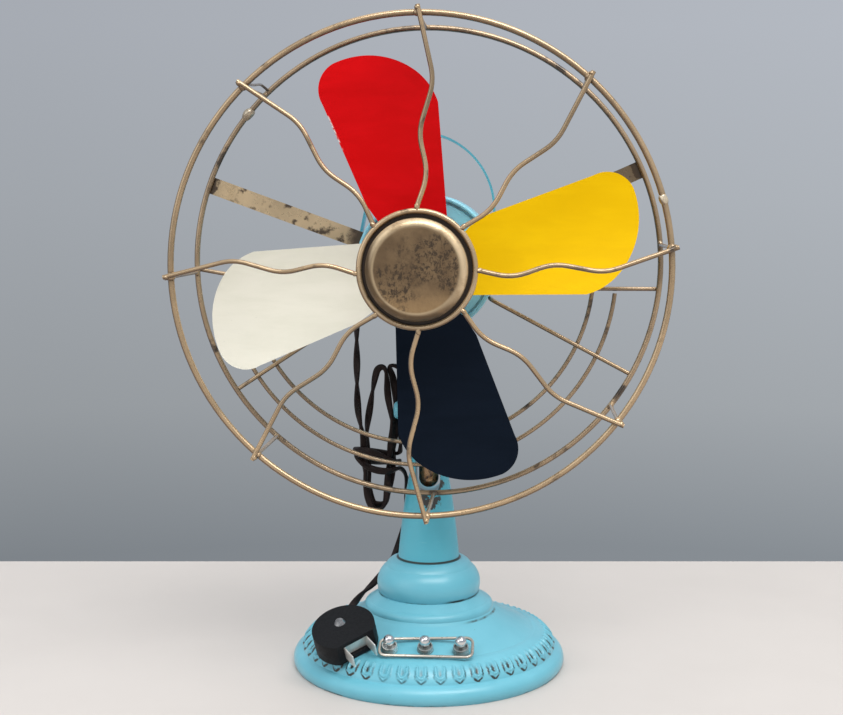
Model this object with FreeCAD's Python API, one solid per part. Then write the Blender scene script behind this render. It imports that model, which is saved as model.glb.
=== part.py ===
import FreeCAD, Part
import math
import os

# Table fan with a wire guard, four paddle blades, a tilting head and a free cord.
# Millimetres. +Z is up, the fan faces -Y, +X is to the right of someone who faces it.
# The origin is on the table, in the middle of the foot.

V = FreeCAD.Vector
os.makedirs("parts", exist_ok=True)

# ---- fits ----
seat_gap = 0.05            # between curved faces that are welded, pressed or screwed together
running_gap = 0.05         # radial play of a pin or shaft in its hole
free_gap = 0.3             # between faces of pieces that move past each other
cut_past = 1.0             # how far a cut runs beyond the face that it opens
screw_crown = 0.45         # flat middle of a screw head, as a share of its radius
screw_brow = (0.86, 0.66)  # fullest point of its rounding, as shares of its radius and height
screw_rim = 0.2            # straight rim of the head, as a share of its height
corner_share = 0.45        # share of the shorter run that the arc at a bend takes
quarter_bulge = 1 - math.sqrt(0.5)   # how far the middle of a quarter round stands inside its corner

# ---- foot, bulb and post: turned round the Z axis ----
foot_edge_radius = 75.0    # where the rim meets the table
foot_bulge_radius = 76.2   # fullest part of the rim
foot_bulge_height = 4.5
rim_top_radius = 73.0
rim_top_height = 9.0
dome_foot_radius = 71.2    # the dome starts inside a small step in the rim
dome_foot_height = 9.8
border_bulge = (1.6, 1.7)  # how far the border stands out and up from its chord, halfway
dome_step_radius = 59.0    # shallow step between the border and the upper dome
dome_step_height = 19.9
dome_step = 0.6
dome_step_rise = 0.1
dome_dip = (-0.4, -0.5)    # the upper dome is a little hollow
dome_top_radius = 37.6
dome_top_height = 30.6
collar_radius = 36.3       # rounded collar under the bulb
collar_height = 33.6
collar_wall = 1.8          # the collar's rounding starts this far below its height
collar_bulge = (-0.6, 0.8)
collar_brow = (-2.9, 2.4)
foot_top_radius = 28.4
foot_top_height = 39.8
foot_skin = 3.2            # depth of metal under the dome
foot_boss_depth = 7.0      # solid metal round the tie rod
foot_boss_radius = 16.0
bulb_seat_radius = 27.6
bulb_radius = 29.0
bulb_waist_height = 45.0
bulb_shoulder_radius = 24.2
bulb_shoulder_height = 55.4
bulb_top_radius = 17.9
bulb_top_height = 59.5
bulb_crown = (0.8, -1.4)   # rounding between shoulder and top
post_foot_radius = 17.2
post_middle_radius = 15.3
post_middle_height = 78.0
post_neck_radius = 12.9
post_neck_height = 96.0
post_ear_radius = 10.7     # half the width of the fork
post_ear_height = 108.0

base_plate_radius = 70.0
base_plate_thickness = 1.5
base_plate_ledge = 2.6     # width of the ledge that stops the plate

tie_rod_radius = 3.0
tie_rod_in_post = 20.0     # thread engaged in the post
tie_rod_tail = 3.0         # thread below the nut
base_nut_flats = 10.0
base_nut_height = 5.0
base_washer_radius = 9.0
base_washer_thickness = 1.6

# ---- tilt hinge ----
pivot_height = 142.7
fork_gap = 13.8            # slot between the two ears
slot_bottom_height = 97.0
stem_radius = 5.5
stem_end_height = 99.4
friction_washer_radius = 7.0
tilt_bolt_radius = 2.5
ear_spotface = 0.5         # depth of the flats for the knob and the nut
ear_spotface_radius = 6.4
tilt_knob_radius = 4.9
tilt_knob_length = 9.2
tilt_knob_round = 2.2
tilt_nut_flats = 8.0
tilt_nut_height = 4.0
tilt_bolt_tail = 1.5       # thread beyond the nut

# ---- motor housing: turned round the hub axis ----
hub_height = 224.7
housing_radius = 37.5
housing_wall = 2.0
housing_front = -24.0
housing_joint = 21.0
housing_rear = 36.0
housing_plate = 2.6        # thickness of the front and rear walls
housing_lip = 2.2          # width of the raised rim round the front face
lip_inner_edge = 0.6       # the rim's rounding starts this far behind its front, inside
lip_outer_edge = 1.0       # and outside
housing_groove = 1.4       # width and depth of the groove inside the rim
housing_back_round = 11.0
rabbet_length = 4.0
rabbet_wall = 1.2
bearing_boss_radius = 8.5
bearing_boss_length = 9.0
neck_boss_radius = 9.0     # socket for the stem under the housing
neck_boss_length = 15.0
neck_boss_sink = 0.4       # how far it reaches into the housing's wall
stem_socket_depth = 14.0
set_screw_radius = 2.0
through_screw_circle = 30.5
through_screw_radius = 1.5
through_screw_head_radius = 2.8
through_screw_head = 1.8
screw_post_radius = 3.6
screw_post_length = 9.0
screw_sink = 2.6           # depth of the screw heads below the back
bush_stop = 1.6            # wall in front of the front bush
shaft_hole_room = 1.0
screw_count = 4

# ---- motor ----
shaft_radius = 3.0
shaft_front = -63.0
bush_radius = 5.0
bush_length = 10.0
shaft_short = 1.0          # the shaft ends this far inside the rear bush
collar_ring_radius = 5.6
collar_ring_length = 3.0
stator_front = -7.0
stator_length = 22.0
stator_bore = 15.3
stator_yoke = 8.0
pole_width = 10.0
pole_shoe = 2.2
pole_shoe_angle = 68.0
pole_count = 4
coil_build = 3.6           # thickness of the winding round a pole
armature_gap = 0.4

# ---- rotor and blades ----
blade_plane = -50.0
blade_thickness = 1.0
blade_pitch_angle = 9.0
blade_camber_radius = 130.0
blade_axis_angle = 106.0   # direction of the top blade's middle line, from +X
blade_set = {              # fitted by hand: clockwise turn round the hub, and slide outwards
    "red": (-1.0, -2.0),
    "yellow": (92.4, -0.3),
    "navy": (181.5, 1.0),
    "white": (269.0, 0.9),
}
# corners of the blade's outline, as X and height over the hub axis
blade_root_left = (-11.0, 15.0)
blade_root_right = (8.0, 15.0)
blade_waist_left = (-21.6, 23.6)
blade_neck_left = (-28.6, 33.4)
blade_heel = (-50.2, 85.2)
blade_corner = (-51.8, 96.2)
blade_tip_left = (-44.7, 105.5)
blade_tip = (-26.0, 109.1)
blade_tip_right = (-4.8, 102.6)
blade_shoulder = (4.2, 94.6)
blade_edge = (9.6, 84.4)
blade_neck_right = (12.9, 27.0)
rotor_boss_radius = 9.5
rotor_boss_front = -58.0
rotor_boss_rear = -38.0
arm_half_width = 7.0
arm_reach = 29.0
arm_thickness = 2.2
rivet_radius = 1.2
rivet_head_radius = 2.2
rivet_head = 1.1
rivet_hole_reach = 6.0
rivet_radii = (16.5, 24.5)  # distances of the two rivets of a blade from the hub axis
hub_nut_flats = 9.0
hub_nut_height = 4.0

# ---- guard ----
ring_radius = 124.0
front_ring_wire = 1.6      # wire radii
rear_ring_wire = 1.5
spoke_wire = 1.2
tie_wire = 1.0
strut_wire = 1.15
hub_ring_wire = 1.4
front_ring_plane = -78.0
rear_ring_plane = -22.5
spoke_set = {              # set by hand: direction of the tip, and how far the foot stands aside
    5: -3.0, 48.3: -3.1, 90: 0.0, 134: 0.2, 182: 1.0, 229: -0.8, 272: -0.3, 323: -2.5,
}
spoke_overhang = 1.7       # beyond the front ring
spoke_wave = ((91.0, -8.2), (66.5, -0.7), (46.0, -5.4))  # bends: distance out, distance aside
spoke_bend_radius = 26.0
spoke_foot_gap = 0.45      # room for the slanting end of a spoke beside the hub ring
hub_ring_radius = 28.6
hub_ring_plane = -85.0
badge_radius = 25.2
badge_flat_radius = 20.8
badge_front = -91.0
badge_bevel = 2.8
badge_sheet = 1.0
strap_width = 9.0
strap_thickness = 1.2
strap_angles = (160, 24)
strap_tab = 13.0           # length bent back along the housing
strap_screw_radius = 1.5
strap_screw_head_radius = 2.6
strap_screw_head = 1.4
strap_screw_length = 3.8
strut_angles = (213.5, 332)
strut_bend_radius = 4.0
strut_tab = 12.0
arc_centre = (-4.0, -4.0)  # of the two lower arcs, in X and in height over the hub axis
inner_arc_radius = 93.0
outer_arc_radius = 105.0
arc_end_right = -12.6      # height of the level wire that ends the arcs, each side
arc_end_left = -7.6
arc_rise_left = 4.6        # the left level wire climbs this much to the ring

# ---- carry handle ----
handle_plane = 8.0
handle_width = 8.0
handle_thickness = 1.2
handle_half_span = 35.0
handle_spring = 29.0       # height over the hub axis where the arch leaves its legs
handle_flank_radius = 42.0
handle_crown_radius = 24.0
handle_foot_top = 13.0
handle_foot_bottom = -7.0
handle_pad_length = 24.0
handle_pad_rise = 0.8      # how far the flat pad stands out of the round housing
handle_pad_below = 1.0     # the pad reaches this far below the handle's foot
handle_pad_short = 1.0     # and stops this far below the bend
handle_hole = 1.5          # height of the screws over the hub axis
handle_screw_radius = 1.5
handle_screw_head_radius = 2.8
handle_screw_head = 1.6
handle_screw_length = 3.6

# ---- switch: three ball buttons in cups, inside a wire frame, on the dome ----
switch_middle = 1.8
switch_radius = 51.9
switch_slope = 26.5
button_pitch = 18.9
button_row = -0.4          # up the slope from the switch's middle
button_travel = 2.0
ball_radius = 3.0
ball_height = 5.8
button_stem_radius = 1.2
button_collar_radius = 2.2
button_collar_length = 1.5
cup_radius = 4.4
cup_mouth_radius = 4.0
cup_height = 2.3
cup_hollow_radius = 3.4
cup_floor = 0.5
cup_skirt = 4.0
switch_block_length = 46.0
switch_block_width = 9.0
switch_block_depth = 12.6
switch_cover_thickness = 1.8
button_tail = 1.5
loop_wire = 0.8
loop_left = -24.0
loop_right = 25.0
loop_low = -7.0
loop_high_left = 4.8
loop_high_right = 7.2
loop_lift = 1.2
loop_bend_radius = 3.6

# ---- cord and plug ----
cord_radius = 1.8
outlet_x = -42.0
outlet_y = 14.0
outlet_radius = 5.0
outlet_top = -8.5          # below the hub axis
outlet_length = 12.0
grommet_radius = 3.4
grommet_tip_radius = 2.5
grommet_length = 9.0
hank_left = -37.8
hank_right = -19.9
hank_plane = 2.0
hank_half_depth = 5.0
hank_top = 168.4
hank_bottom = 85.8
wrap_left = -42.0
wrap_right = -13.8
wrap_top = 125.6
wrap_bottom = 109.0
wrap_half_depth = 6.5
wrap_round = 3.0
stub_foot = (-37.9, 2.0, 124.0)
stub_gap = 0.4             # room for the cord's round end to turn when the head tilts
upper_cord = ((-42.0, 14.0, 184.4), (-41.6, 11.0, 170.2), (-40.8, 4.6, 156.4))
upper_cord_end = (-39.9, 0.0)
lower_cord = ((-17.6, 3.0, 110.0), (-14.9, 7.4, 101.0), (-13.6, 13.0, 91.4), (-14.0, 17.8, 80.8),
              (-16.0, 20.6, 70.0), (-19.4, 21.6, 59.2), (-24.8, 21.4, 48.6), (-32.0, 16.4, 39.6),
              (-38.9, 6.5, 35.0), (-41.9, -4.2, 32.9))
plug_radius = 17.0
plug_height = 12.0
plug_tilt = 25.0
plug_turn = -108.0         # direction that the plug leans towards, from +X
plug_centre = (-41.5, -46.6, 28.0)
plug_flat = 12.9           # distance of the flat from the plug's middle
plug_flat_turn = -38.0
plug_nub_radius = 3.2
plug_nub_reach = 20.6      # from the plug's middle to the end of the cord's socket
plug_nub_aim = (-44.0, -14.0, 31.2)
plug_rivet_radius = 2.0
plug_rivet_head_radius = 3.1
plug_rivet_head = 1.5
plug_rivet_offset = (-3.0, 2.4)
prong_half_gap = 6.3
prong_width = 7.5
prong_thickness = 0.8
prong_reach = 9.0
prong_recess = 3.0         # the bent strip is let into the flat

# ---- levels that follow from the sizes above ----
bush_front_y = housing_front + housing_groove + bush_stop
bush_rear_y = housing_rear - housing_plate - bush_length
screw_end = housing_front + housing_groove + bush_stop
screw_seat = housing_rear - screw_sink
hub = V(0, 0, hub_height)
foot_boss_bottom = foot_top_height - foot_boss_depth
housing_bore = housing_radius - housing_wall
stator_rear = stator_front + stator_length
neck_boss_bottom = hub_height - housing_radius - neck_boss_length
stem_socket_top = neck_boss_bottom + stem_socket_depth
spoke_plane = front_ring_plane - front_ring_wire - spoke_wire
arc_plane = rear_ring_plane + rear_ring_wire + strut_wire
strut_plane = arc_plane - 2 * strut_wire
strap_plane = rear_ring_plane + rear_ring_wire
badge_flange_plane = hub_ring_plane + hub_ring_wire + seat_gap
blade_axis = V(math.cos(math.radians(blade_axis_angle)), 0, math.sin(math.radians(blade_axis_angle)))
blade_chord = V(-blade_axis.z, 0, blade_axis.x)


# ---- shape helpers ----
def edges_of(start, steps):
    """Edges from start through steps: a point is a straight run, a pair of points is an arc."""
    edges, here = [], start
    for step in steps:
        if isinstance(step, tuple):
            edges.append(Part.Arc(here, step[0], step[1]).toShape())
            here = step[1]
        else:
            edges.append(Part.LineSegment(here, step).toShape())
            here = step
    return edges


def face_of(start, steps):
    """Face inside a closed outline."""
    return Part.Face(Part.Wire(edges_of(start, list(steps) + [start])))


def lathe(start, steps):
    """Solid turned round the Z axis from (radius, height) points."""

    def at(p):
        return V(p[0], 0, p[1])

    mapped = [(at(s[0]), at(s[1])) if isinstance(s[0], tuple) else at(s) for s in steps]
    return face_of(at(start), mapped).revolve(V(0, 0, 0), V(0, 0, 1), 360)


def hub_lathe(start, steps):
    """Solid turned round the hub axis from (radius, y) points."""

    def at(p):
        return V(p[0], p[1], hub_height)

    mapped = [(at(s[0]), at(s[1])) if isinstance(s[0], tuple) else at(s) for s in steps]
    return face_of(at(start), mapped).revolve(hub, V(0, 1, 0), 360)


def halfway(a, b, moved):
    """Point halfway between two (radius, height) points, then moved."""
    return (a[0] + b[0]) / 2 + moved[0], (a[1] + b[1]) / 2 + moved[1]


def rod(a, b, radius):
    """Round bar from a to b."""
    return Part.makeCylinder(radius, (b - a).Length, a, b - a)


def tube(a, b, radius, bore):
    """Round bar from a to b with a hole right through."""
    beyond = (b - a).normalize() * cut_past
    return rod(a, b, radius).cut(rod(a - beyond, b + beyond, bore))


def hub_rod(radius, y0, y1):
    return rod(V(0, y0, hub_height), V(0, y1, hub_height), radius)


def hub_tube(radius, bore, y0, y1):
    return tube(V(0, y0, hub_height), V(0, y1, hub_height), radius, bore)


def polar(distance, angle, y):
    """Point at a distance and an angle from the hub axis."""
    a = math.radians(angle)
    return V(distance * math.cos(a), y, hub_height + distance * math.sin(a))


def hexagon(centre, along, flats, height, bore):
    """Nut with its axis along a direction."""
    corner = flats / math.sqrt(3)
    points = [V(corner * math.cos(math.radians(60 * k)), corner * math.sin(math.radians(60 * k)), 0)
              for k in range(6)]
    nut = Part.Face(Part.makePolygon(points + points[:1])).extrude(V(0, 0, height))
    nut = nut.cut(Part.makeCylinder(bore, 3 * height, V(0, 0, -height)))
    nut.Placement = FreeCAD.Placement(centre, FreeCAD.Rotation(V(0, 0, 1), along))
    return nut


def screw(seat, inward, shank, length, head, head_height):
    """Screw with a rounded head: seat is the middle of the face under its head."""
    inward = V(inward).normalize()
    side = V(0, 0, 1).cross(inward).normalize()

    def at(radius, depth):
        return seat + side * radius + inward * depth

    outline = face_of(at(0, -head_height), [
        at(head * screw_crown, -head_height),
        (at(head * screw_brow[0], -head_height * screw_brow[1]), at(head, -head_height * screw_rim)),
        at(head, 0),
        at(shank, 0), at(shank, length), at(0, length)])
    return outline.revolve(seat, inward, 360)


def rounded_path(points, bend=None):
    """Wire through points with tangent arcs at the corners, and the radii of those arcs.
    With no bend given, each arc takes the same share of the shorter of its two runs."""
    edges, radii, here = [], [], points[0]
    for before, corner, after in zip(points, points[1:], points[2:]):
        back, ahead = before - corner, after - corner
        shorter = min(back.Length, ahead.Length)
        half = (math.pi - back.getAngle(ahead)) / 2
        reach = corner_share * shorter if bend is None else bend * math.tan(half)
        back.normalize()
        ahead.normalize()
        a, b = corner + back * reach, corner + ahead * reach
        radius = reach / math.tan(half)
        middle = (back + ahead).normalize()
        bulge = corner + middle * (radius / math.cos(half) - radius)
        edges.append(Part.LineSegment(here, a).toShape())
        edges.append(Part.Arc(a, bulge, b).toShape())
        radii.append(radius)
        here = b
    edges.append(Part.LineSegment(here, points[-1]).toShape())
    return Part.Wire(edges), radii


def swept(path, radius):
    """Round wire bent along a path."""
    first = path.Edges[0]
    start, ahead = first.valueAt(first.FirstParameter), first.tangentAt(first.FirstParameter)
    section = Part.Wire(Part.Circle(start, ahead, radius).toShape())
    return path.makePipeShell([section], True, False)


def ring(radius, wire, y):
    """Closed ring of round wire, square to the hub axis."""
    return Part.makeTorus(radius, wire, V(0, y, hub_height), V(0, 1, 0))


def group(solids):
    return Part.makeCompound(solids)


def around_hub(shape, angle):
    """The shape turned clockwise round the hub, as seen from the front."""
    turned = shape.copy()
    turned.rotate(hub, V(0, 1, 0), angle)
    return turned


# ---- base ----
def foot_outer():
    """Outer form of the foot, solid."""
    border_foot, border_top = (dome_foot_radius, dome_foot_height), (dome_step_radius, dome_step_height)
    dome_top = (dome_top_radius, dome_top_height)
    return lathe((0, 0), [
        (foot_edge_radius, 0),
        ((foot_bulge_radius, foot_bulge_height), (rim_top_radius, rim_top_height)),
        border_foot,
        (halfway(border_foot, border_top, border_bulge), border_top),
        (dome_step_radius - dome_step, dome_step_height + dome_step_rise),
        (halfway(border_top, dome_top, dome_dip), dome_top),
        (collar_radius, collar_height - collar_wall),
        ((collar_radius + collar_bulge[0], collar_height + collar_bulge[1]),
         (collar_radius + collar_brow[0], collar_height + collar_brow[1])),
        (foot_top_radius, foot_top_height),
        (0, foot_top_height)])


def foot_cavity():
    """Room under the foot's skin."""
    mouth = base_plate_radius - base_plate_ledge
    return lathe((0, base_plate_thickness), [
        (mouth, base_plate_thickness),
        (mouth, dome_foot_height - foot_skin),
        (dome_step_radius - dome_step, dome_step_height - foot_skin),
        (dome_top_radius - dome_step, dome_top_height - foot_skin),
        (foot_boss_radius, foot_boss_bottom),
        (0, foot_boss_bottom)])


def switch_point(u, v, w):
    """Point in the switch's own frame: u to the right, v up the dome, w out of it."""
    a = math.radians(switch_slope)
    base_height = dome_step_height + (dome_step_radius - switch_radius) * math.tan(a)
    return V(switch_middle + u, -switch_radius + v * math.cos(a) - w * math.sin(a),
             base_height + v * math.sin(a) + w * math.cos(a))


button_axis = switch_point(0, 0, 1) - switch_point(0, 0, 0)
button_places = [k * button_pitch for k in (-1, 0, 1)]


def button_bar(u, w0, w1, radius):
    return rod(switch_point(u, button_row, w0), switch_point(u, button_row, w1), radius)


def make_foot():
    foot = foot_outer().cut(foot_cavity())
    foot = foot.cut(rod(V(0, 0, -cut_past), V(0, 0, base_plate_thickness), base_plate_radius + running_gap))
    foot = foot.cut(rod(V(0, 0, 0), V(0, 0, foot_top_height + cut_past), tie_rod_radius + running_gap))
    for u in button_places:
        foot = foot.cut(button_bar(u, -3 * foot_skin, cup_height, button_stem_radius + running_gap))
    return foot


def make_base_plate():
    return rod(V(0, 0, 0), V(0, 0, base_plate_thickness), base_plate_radius)


def make_bulb():
    bulb = lathe((0, foot_top_height), [
        (bulb_seat_radius, foot_top_height),
        ((bulb_radius, bulb_waist_height), (bulb_shoulder_radius, bulb_shoulder_height)),
        (((bulb_shoulder_radius + bulb_top_radius) / 2 + bulb_crown[0], bulb_top_height + bulb_crown[1]),
         (bulb_top_radius, bulb_top_height)),
        (0, bulb_top_height)])
    return bulb.cut(rod(V(0, 0, foot_top_height - cut_past), V(0, 0, bulb_top_height + cut_past),
                        tie_rod_radius + running_gap))


def make_post():
    ear_top = pivot_height + post_ear_radius
    post = lathe((0, bulb_top_height), [
        (post_foot_radius, bulb_top_height),
        ((post_middle_radius, post_middle_height), (post_neck_radius, post_neck_height)),
        (post_ear_radius, post_ear_height),
        (post_ear_radius, ear_top),
        (0, ear_top)])
    # the fork: a slot with a round bottom, open to the front, the back and the top
    half = fork_gap / 2
    slot_centre = V(0, 0, slot_bottom_height + half)
    reach = 2 * post_foot_radius
    slot = Part.makeBox(fork_gap, 2 * reach, ear_top - slot_centre.z + cut_past,
                        V(-half, -reach, slot_centre.z))
    slot = slot.fuse(rod(slot_centre - V(0, reach, 0), slot_centre + V(0, reach, 0), half))
    post = post.cut(slot)
    # the ears end in a half round
    ear_half = math.sqrt(post_ear_radius ** 2 - half ** 2)
    above = Part.makeBox(4 * post_ear_radius, 4 * post_ear_radius, 2 * post_ear_radius,
                         V(-2 * post_ear_radius, -2 * post_ear_radius, pivot_height))
    crown = rod(V(-2 * post_ear_radius, 0, pivot_height), V(2 * post_ear_radius, 0, pivot_height), ear_half)
    post = post.cut(above.cut(crown))
    # cross hole, and flats for the knob and the nut
    axis = [V(-2 * post_ear_radius, 0, pivot_height), V(2 * post_ear_radius, 0, pivot_height)]
    post = post.cut(rod(axis[0], axis[1], tilt_bolt_radius + running_gap))
    face = post_ear_radius - ear_spotface
    post = post.cut(rod(V(face, 0, pivot_height), axis[1], ear_spotface_radius))
    post = post.cut(rod(V(-face, 0, pivot_height), axis[0], ear_spotface_radius))
    # threaded socket for the tie rod
    socket = [V(0, 0, bulb_top_height - cut_past), V(0, 0, bulb_top_height + tie_rod_in_post + cut_past)]
    return post.cut(rod(socket[0], socket[1], tie_rod_radius + running_gap))


def make_tie_rod():
    bottom = foot_boss_bottom - base_washer_thickness - base_nut_height - tie_rod_tail
    return rod(V(0, 0, bottom), V(0, 0, bulb_top_height + tie_rod_in_post), tie_rod_radius)


def make_base_washer():
    return tube(V(0, 0, foot_boss_bottom - base_washer_thickness), V(0, 0, foot_boss_bottom),
                base_washer_radius, tie_rod_radius + running_gap)


def make_base_nut():
    bottom = foot_boss_bottom - base_washer_thickness - base_nut_height
    return hexagon(V(0, 0, bottom), V(0, 0, 1), base_nut_flats, base_nut_height, tie_rod_radius + running_gap)


# ---- switch ----
def make_switch_cups():
    cups = []
    outer = foot_outer()
    for u in button_places:
        low, high = -cup_skirt - cut_past, cup_height + cut_past
        cup = button_bar(u, -cup_skirt, 0, cup_radius)
        cone = Part.makeCone(cup_radius, cup_mouth_radius, cup_height,
                             switch_point(u, button_row, 0), button_axis)
        cup = cup.fuse(cone).cut(button_bar(u, cup_floor, high, cup_hollow_radius))
        cup = cup.cut(button_bar(u, low, high, button_stem_radius + running_gap))
        cups.append(cup.cut(outer))
    return group(cups)


block_bottom = -switch_block_depth
cover_bottom = block_bottom - switch_cover_thickness
collar_top = block_bottom + button_travel + button_collar_length + free_gap


def make_switch_block():
    half, deep = switch_block_length / 2, switch_block_width / 2
    corners = [(-half, -deep), (half, -deep), (half, deep), (-half, deep)]
    outline = [switch_point(u, button_row + v, block_bottom) for u, v in corners]
    box = Part.Face(Part.makePolygon(outline + outline[:1])).extrude(button_axis * switch_block_depth)
    block = box.common(foot_cavity())
    for u in button_places:
        block = block.cut(button_bar(u, block_bottom - cut_past, collar_top + free_gap,
                                     button_collar_radius + free_gap))
        block = block.cut(button_bar(u, block_bottom, cup_height, button_stem_radius + running_gap))
    return block


def make_switch_cover():
    half, deep = switch_block_length / 2, switch_block_width / 2
    corners = [(-half, -deep), (half, -deep), (half, deep), (-half, deep)]
    outline = [switch_point(u, button_row + v, cover_bottom) for u, v in corners]
    cover = Part.Face(Part.makePolygon(outline + outline[:1])).extrude(button_axis * switch_cover_thickness)
    for u in button_places:
        cover = cover.cut(button_bar(u, cover_bottom - cut_past, block_bottom + cut_past,
                                     button_stem_radius + running_gap))
    return cover


def make_button_ball(u):
    ball = Part.makeSphere(ball_radius, switch_point(u, button_row, ball_height))
    below = ball_height - ball_radius - cut_past
    return ball.cut(button_bar(u, below, ball_height, button_stem_radius + seat_gap))


def make_button_plunger(u):
    stem = button_bar(u, cover_bottom - button_tail, ball_height - seat_gap, button_stem_radius)
    return stem.fuse(button_bar(u, collar_top - button_collar_length, collar_top, button_collar_radius))


def make_switch_frame():
    rise = (loop_high_right - loop_high_left) / (loop_right - loop_left)
    corners = [(0.0, loop_low), (loop_right, loop_low), (loop_right, loop_high_right),
               (loop_left, loop_high_left), (loop_left, loop_low)]
    points = [switch_point(u, v, loop_lift) for u, v in corners]
    points.append(switch_point(0.0, loop_low, loop_lift))
    path, _ = rounded_path(points, loop_bend_radius)
    return swept(path, loop_wire)


# ---- tilt hinge ----
def pivot_bar(x0, x1, radius):
    return rod(V(x0, 0, pivot_height), V(x1, 0, pivot_height), radius)


def make_stem():
    stem = rod(V(0, 0, stem_end_height + stem_radius), V(0, 0, stem_socket_top - seat_gap), stem_radius)
    stem = stem.fuse(Part.makeSphere(stem_radius, V(0, 0, stem_end_height + stem_radius))).removeSplitter()
    return stem.cut(pivot_bar(-2 * stem_radius, 2 * stem_radius, tilt_bolt_radius + running_gap))


def make_friction_washers():
    washers = []
    for side in (-1, 1):
        block = pivot_bar(side * stem_radius / 2, side * (fork_gap / 2 - running_gap), friction_washer_radius)
        block = block.cut(rod(V(0, 0, stem_end_height), V(0, 0, stem_socket_top), stem_radius + seat_gap))
        washers.append(block.cut(pivot_bar(-fork_gap, fork_gap, tilt_bolt_radius + running_gap)))
    return group(washers)


knob_face = post_ear_radius - ear_spotface + running_gap


def make_tilt_bolt():
    return pivot_bar(-knob_face - tilt_knob_length / 2,
                     knob_face + tilt_nut_height + tilt_bolt_tail, tilt_bolt_radius)


def make_tilt_knob():
    knob = pivot_bar(-knob_face - tilt_knob_length, -knob_face, tilt_knob_radius)
    rim = [e for e in knob.Edges
           if e.BoundBox.XMax < -knob_face - running_gap and e.Curve.TypeId == "Part::GeomCircle"]
    knob = knob.makeFillet(tilt_knob_round, rim)
    return knob.cut(pivot_bar(-knob_face - tilt_knob_length / 2 - seat_gap, 0, tilt_bolt_radius + seat_gap))


def make_tilt_nut():
    return hexagon(V(knob_face, 0, pivot_height), V(1, 0, 0), tilt_nut_flats, tilt_nut_height,
                   tilt_bolt_radius + running_gap)


# ---- housing ----
def screw_places():
    return [90 + k * 360.0 / screw_count for k in range(screw_count)]


def handle_pads():
    """Flat pads on the sides of the housing for the feet of the handle."""
    reach = housing_radius + handle_pad_rise
    z0 = hub_height + handle_foot_bottom - handle_pad_below
    height = handle_foot_top - handle_foot_bottom + handle_pad_below - handle_pad_short
    return Part.makeBox(2 * reach, handle_pad_length, height,
                        V(-reach, handle_plane - handle_pad_length / 2, z0))


def neck_boss():
    top = V(0, 0, hub_height - housing_bore - neck_boss_sink)
    boss = rod(V(0, 0, neck_boss_bottom), top, neck_boss_radius)
    boss = boss.cut(rod(V(0, 0, neck_boss_bottom - cut_past), V(0, 0, stem_socket_top),
                        stem_radius + seat_gap))
    seat = V(0, 0, neck_boss_bottom + neck_boss_length / 2)
    return boss.cut(rod(seat, seat + V(0, 2 * neck_boss_radius, 0), set_screw_radius + running_gap))


def make_housing_front():
    face = housing_front + housing_groove
    inside = face + housing_plate
    lip = housing_radius - housing_lip
    shell = hub_lathe((0, face), [
        (lip - housing_groove, face), (lip - housing_groove, face + housing_groove / 2),
        (lip, face + housing_groove / 2), (lip, housing_front + lip_inner_edge),
        ((lip + housing_lip / 2, housing_front), (housing_radius, housing_front + lip_outer_edge)),
        (housing_radius, housing_joint),
        (housing_bore + rabbet_wall / 2, housing_joint),
        (housing_bore + rabbet_wall / 2, housing_joint - rabbet_length),
        (housing_bore, housing_joint - rabbet_length),
        (housing_bore, inside + housing_groove), (0, inside + housing_groove)])
    shell = shell.fuse(hub_rod(bearing_boss_radius, face, face + bearing_boss_length + housing_plate))
    for angle in screw_places():
        shell = shell.fuse(rod(polar(through_screw_circle, angle, face),
                               polar(through_screw_circle, angle, face + screw_post_length + housing_plate),
                               screw_post_radius))
    outside = handle_pads().fuse(neck_boss()).fuse(outlet_boss())
    shell = shell.fuse(outside.cut(hub_rod(housing_bore + rabbet_wall, housing_front, housing_rear)))
    shell = shell.cut(hub_rod(bush_radius + seat_gap, bush_front_y, housing_joint))
    shell = shell.cut(hub_rod(shaft_radius + shaft_hole_room, housing_front - cut_past, housing_joint))
    for angle in screw_places():
        shell = shell.cut(rod(polar(through_screw_circle, angle, screw_end),
                              polar(through_screw_circle, angle, housing_joint + cut_past),
                              through_screw_radius + running_gap))
    for angle in strap_angles:
        shell = shell.cut(rod(polar(housing_bore - cut_past, angle, strap_screw_y()),
                              polar(housing_radius + cut_past, angle, strap_screw_y()),
                              strap_screw_radius + running_gap))
    return handle_holes(shell).removeSplitter()


def handle_holes(shell):
    z = hub_height + handle_hole
    return shell.cut(rod(V(-2 * housing_radius, handle_plane, z), V(2 * housing_radius, handle_plane, z),
                         handle_screw_radius + running_gap))


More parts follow.
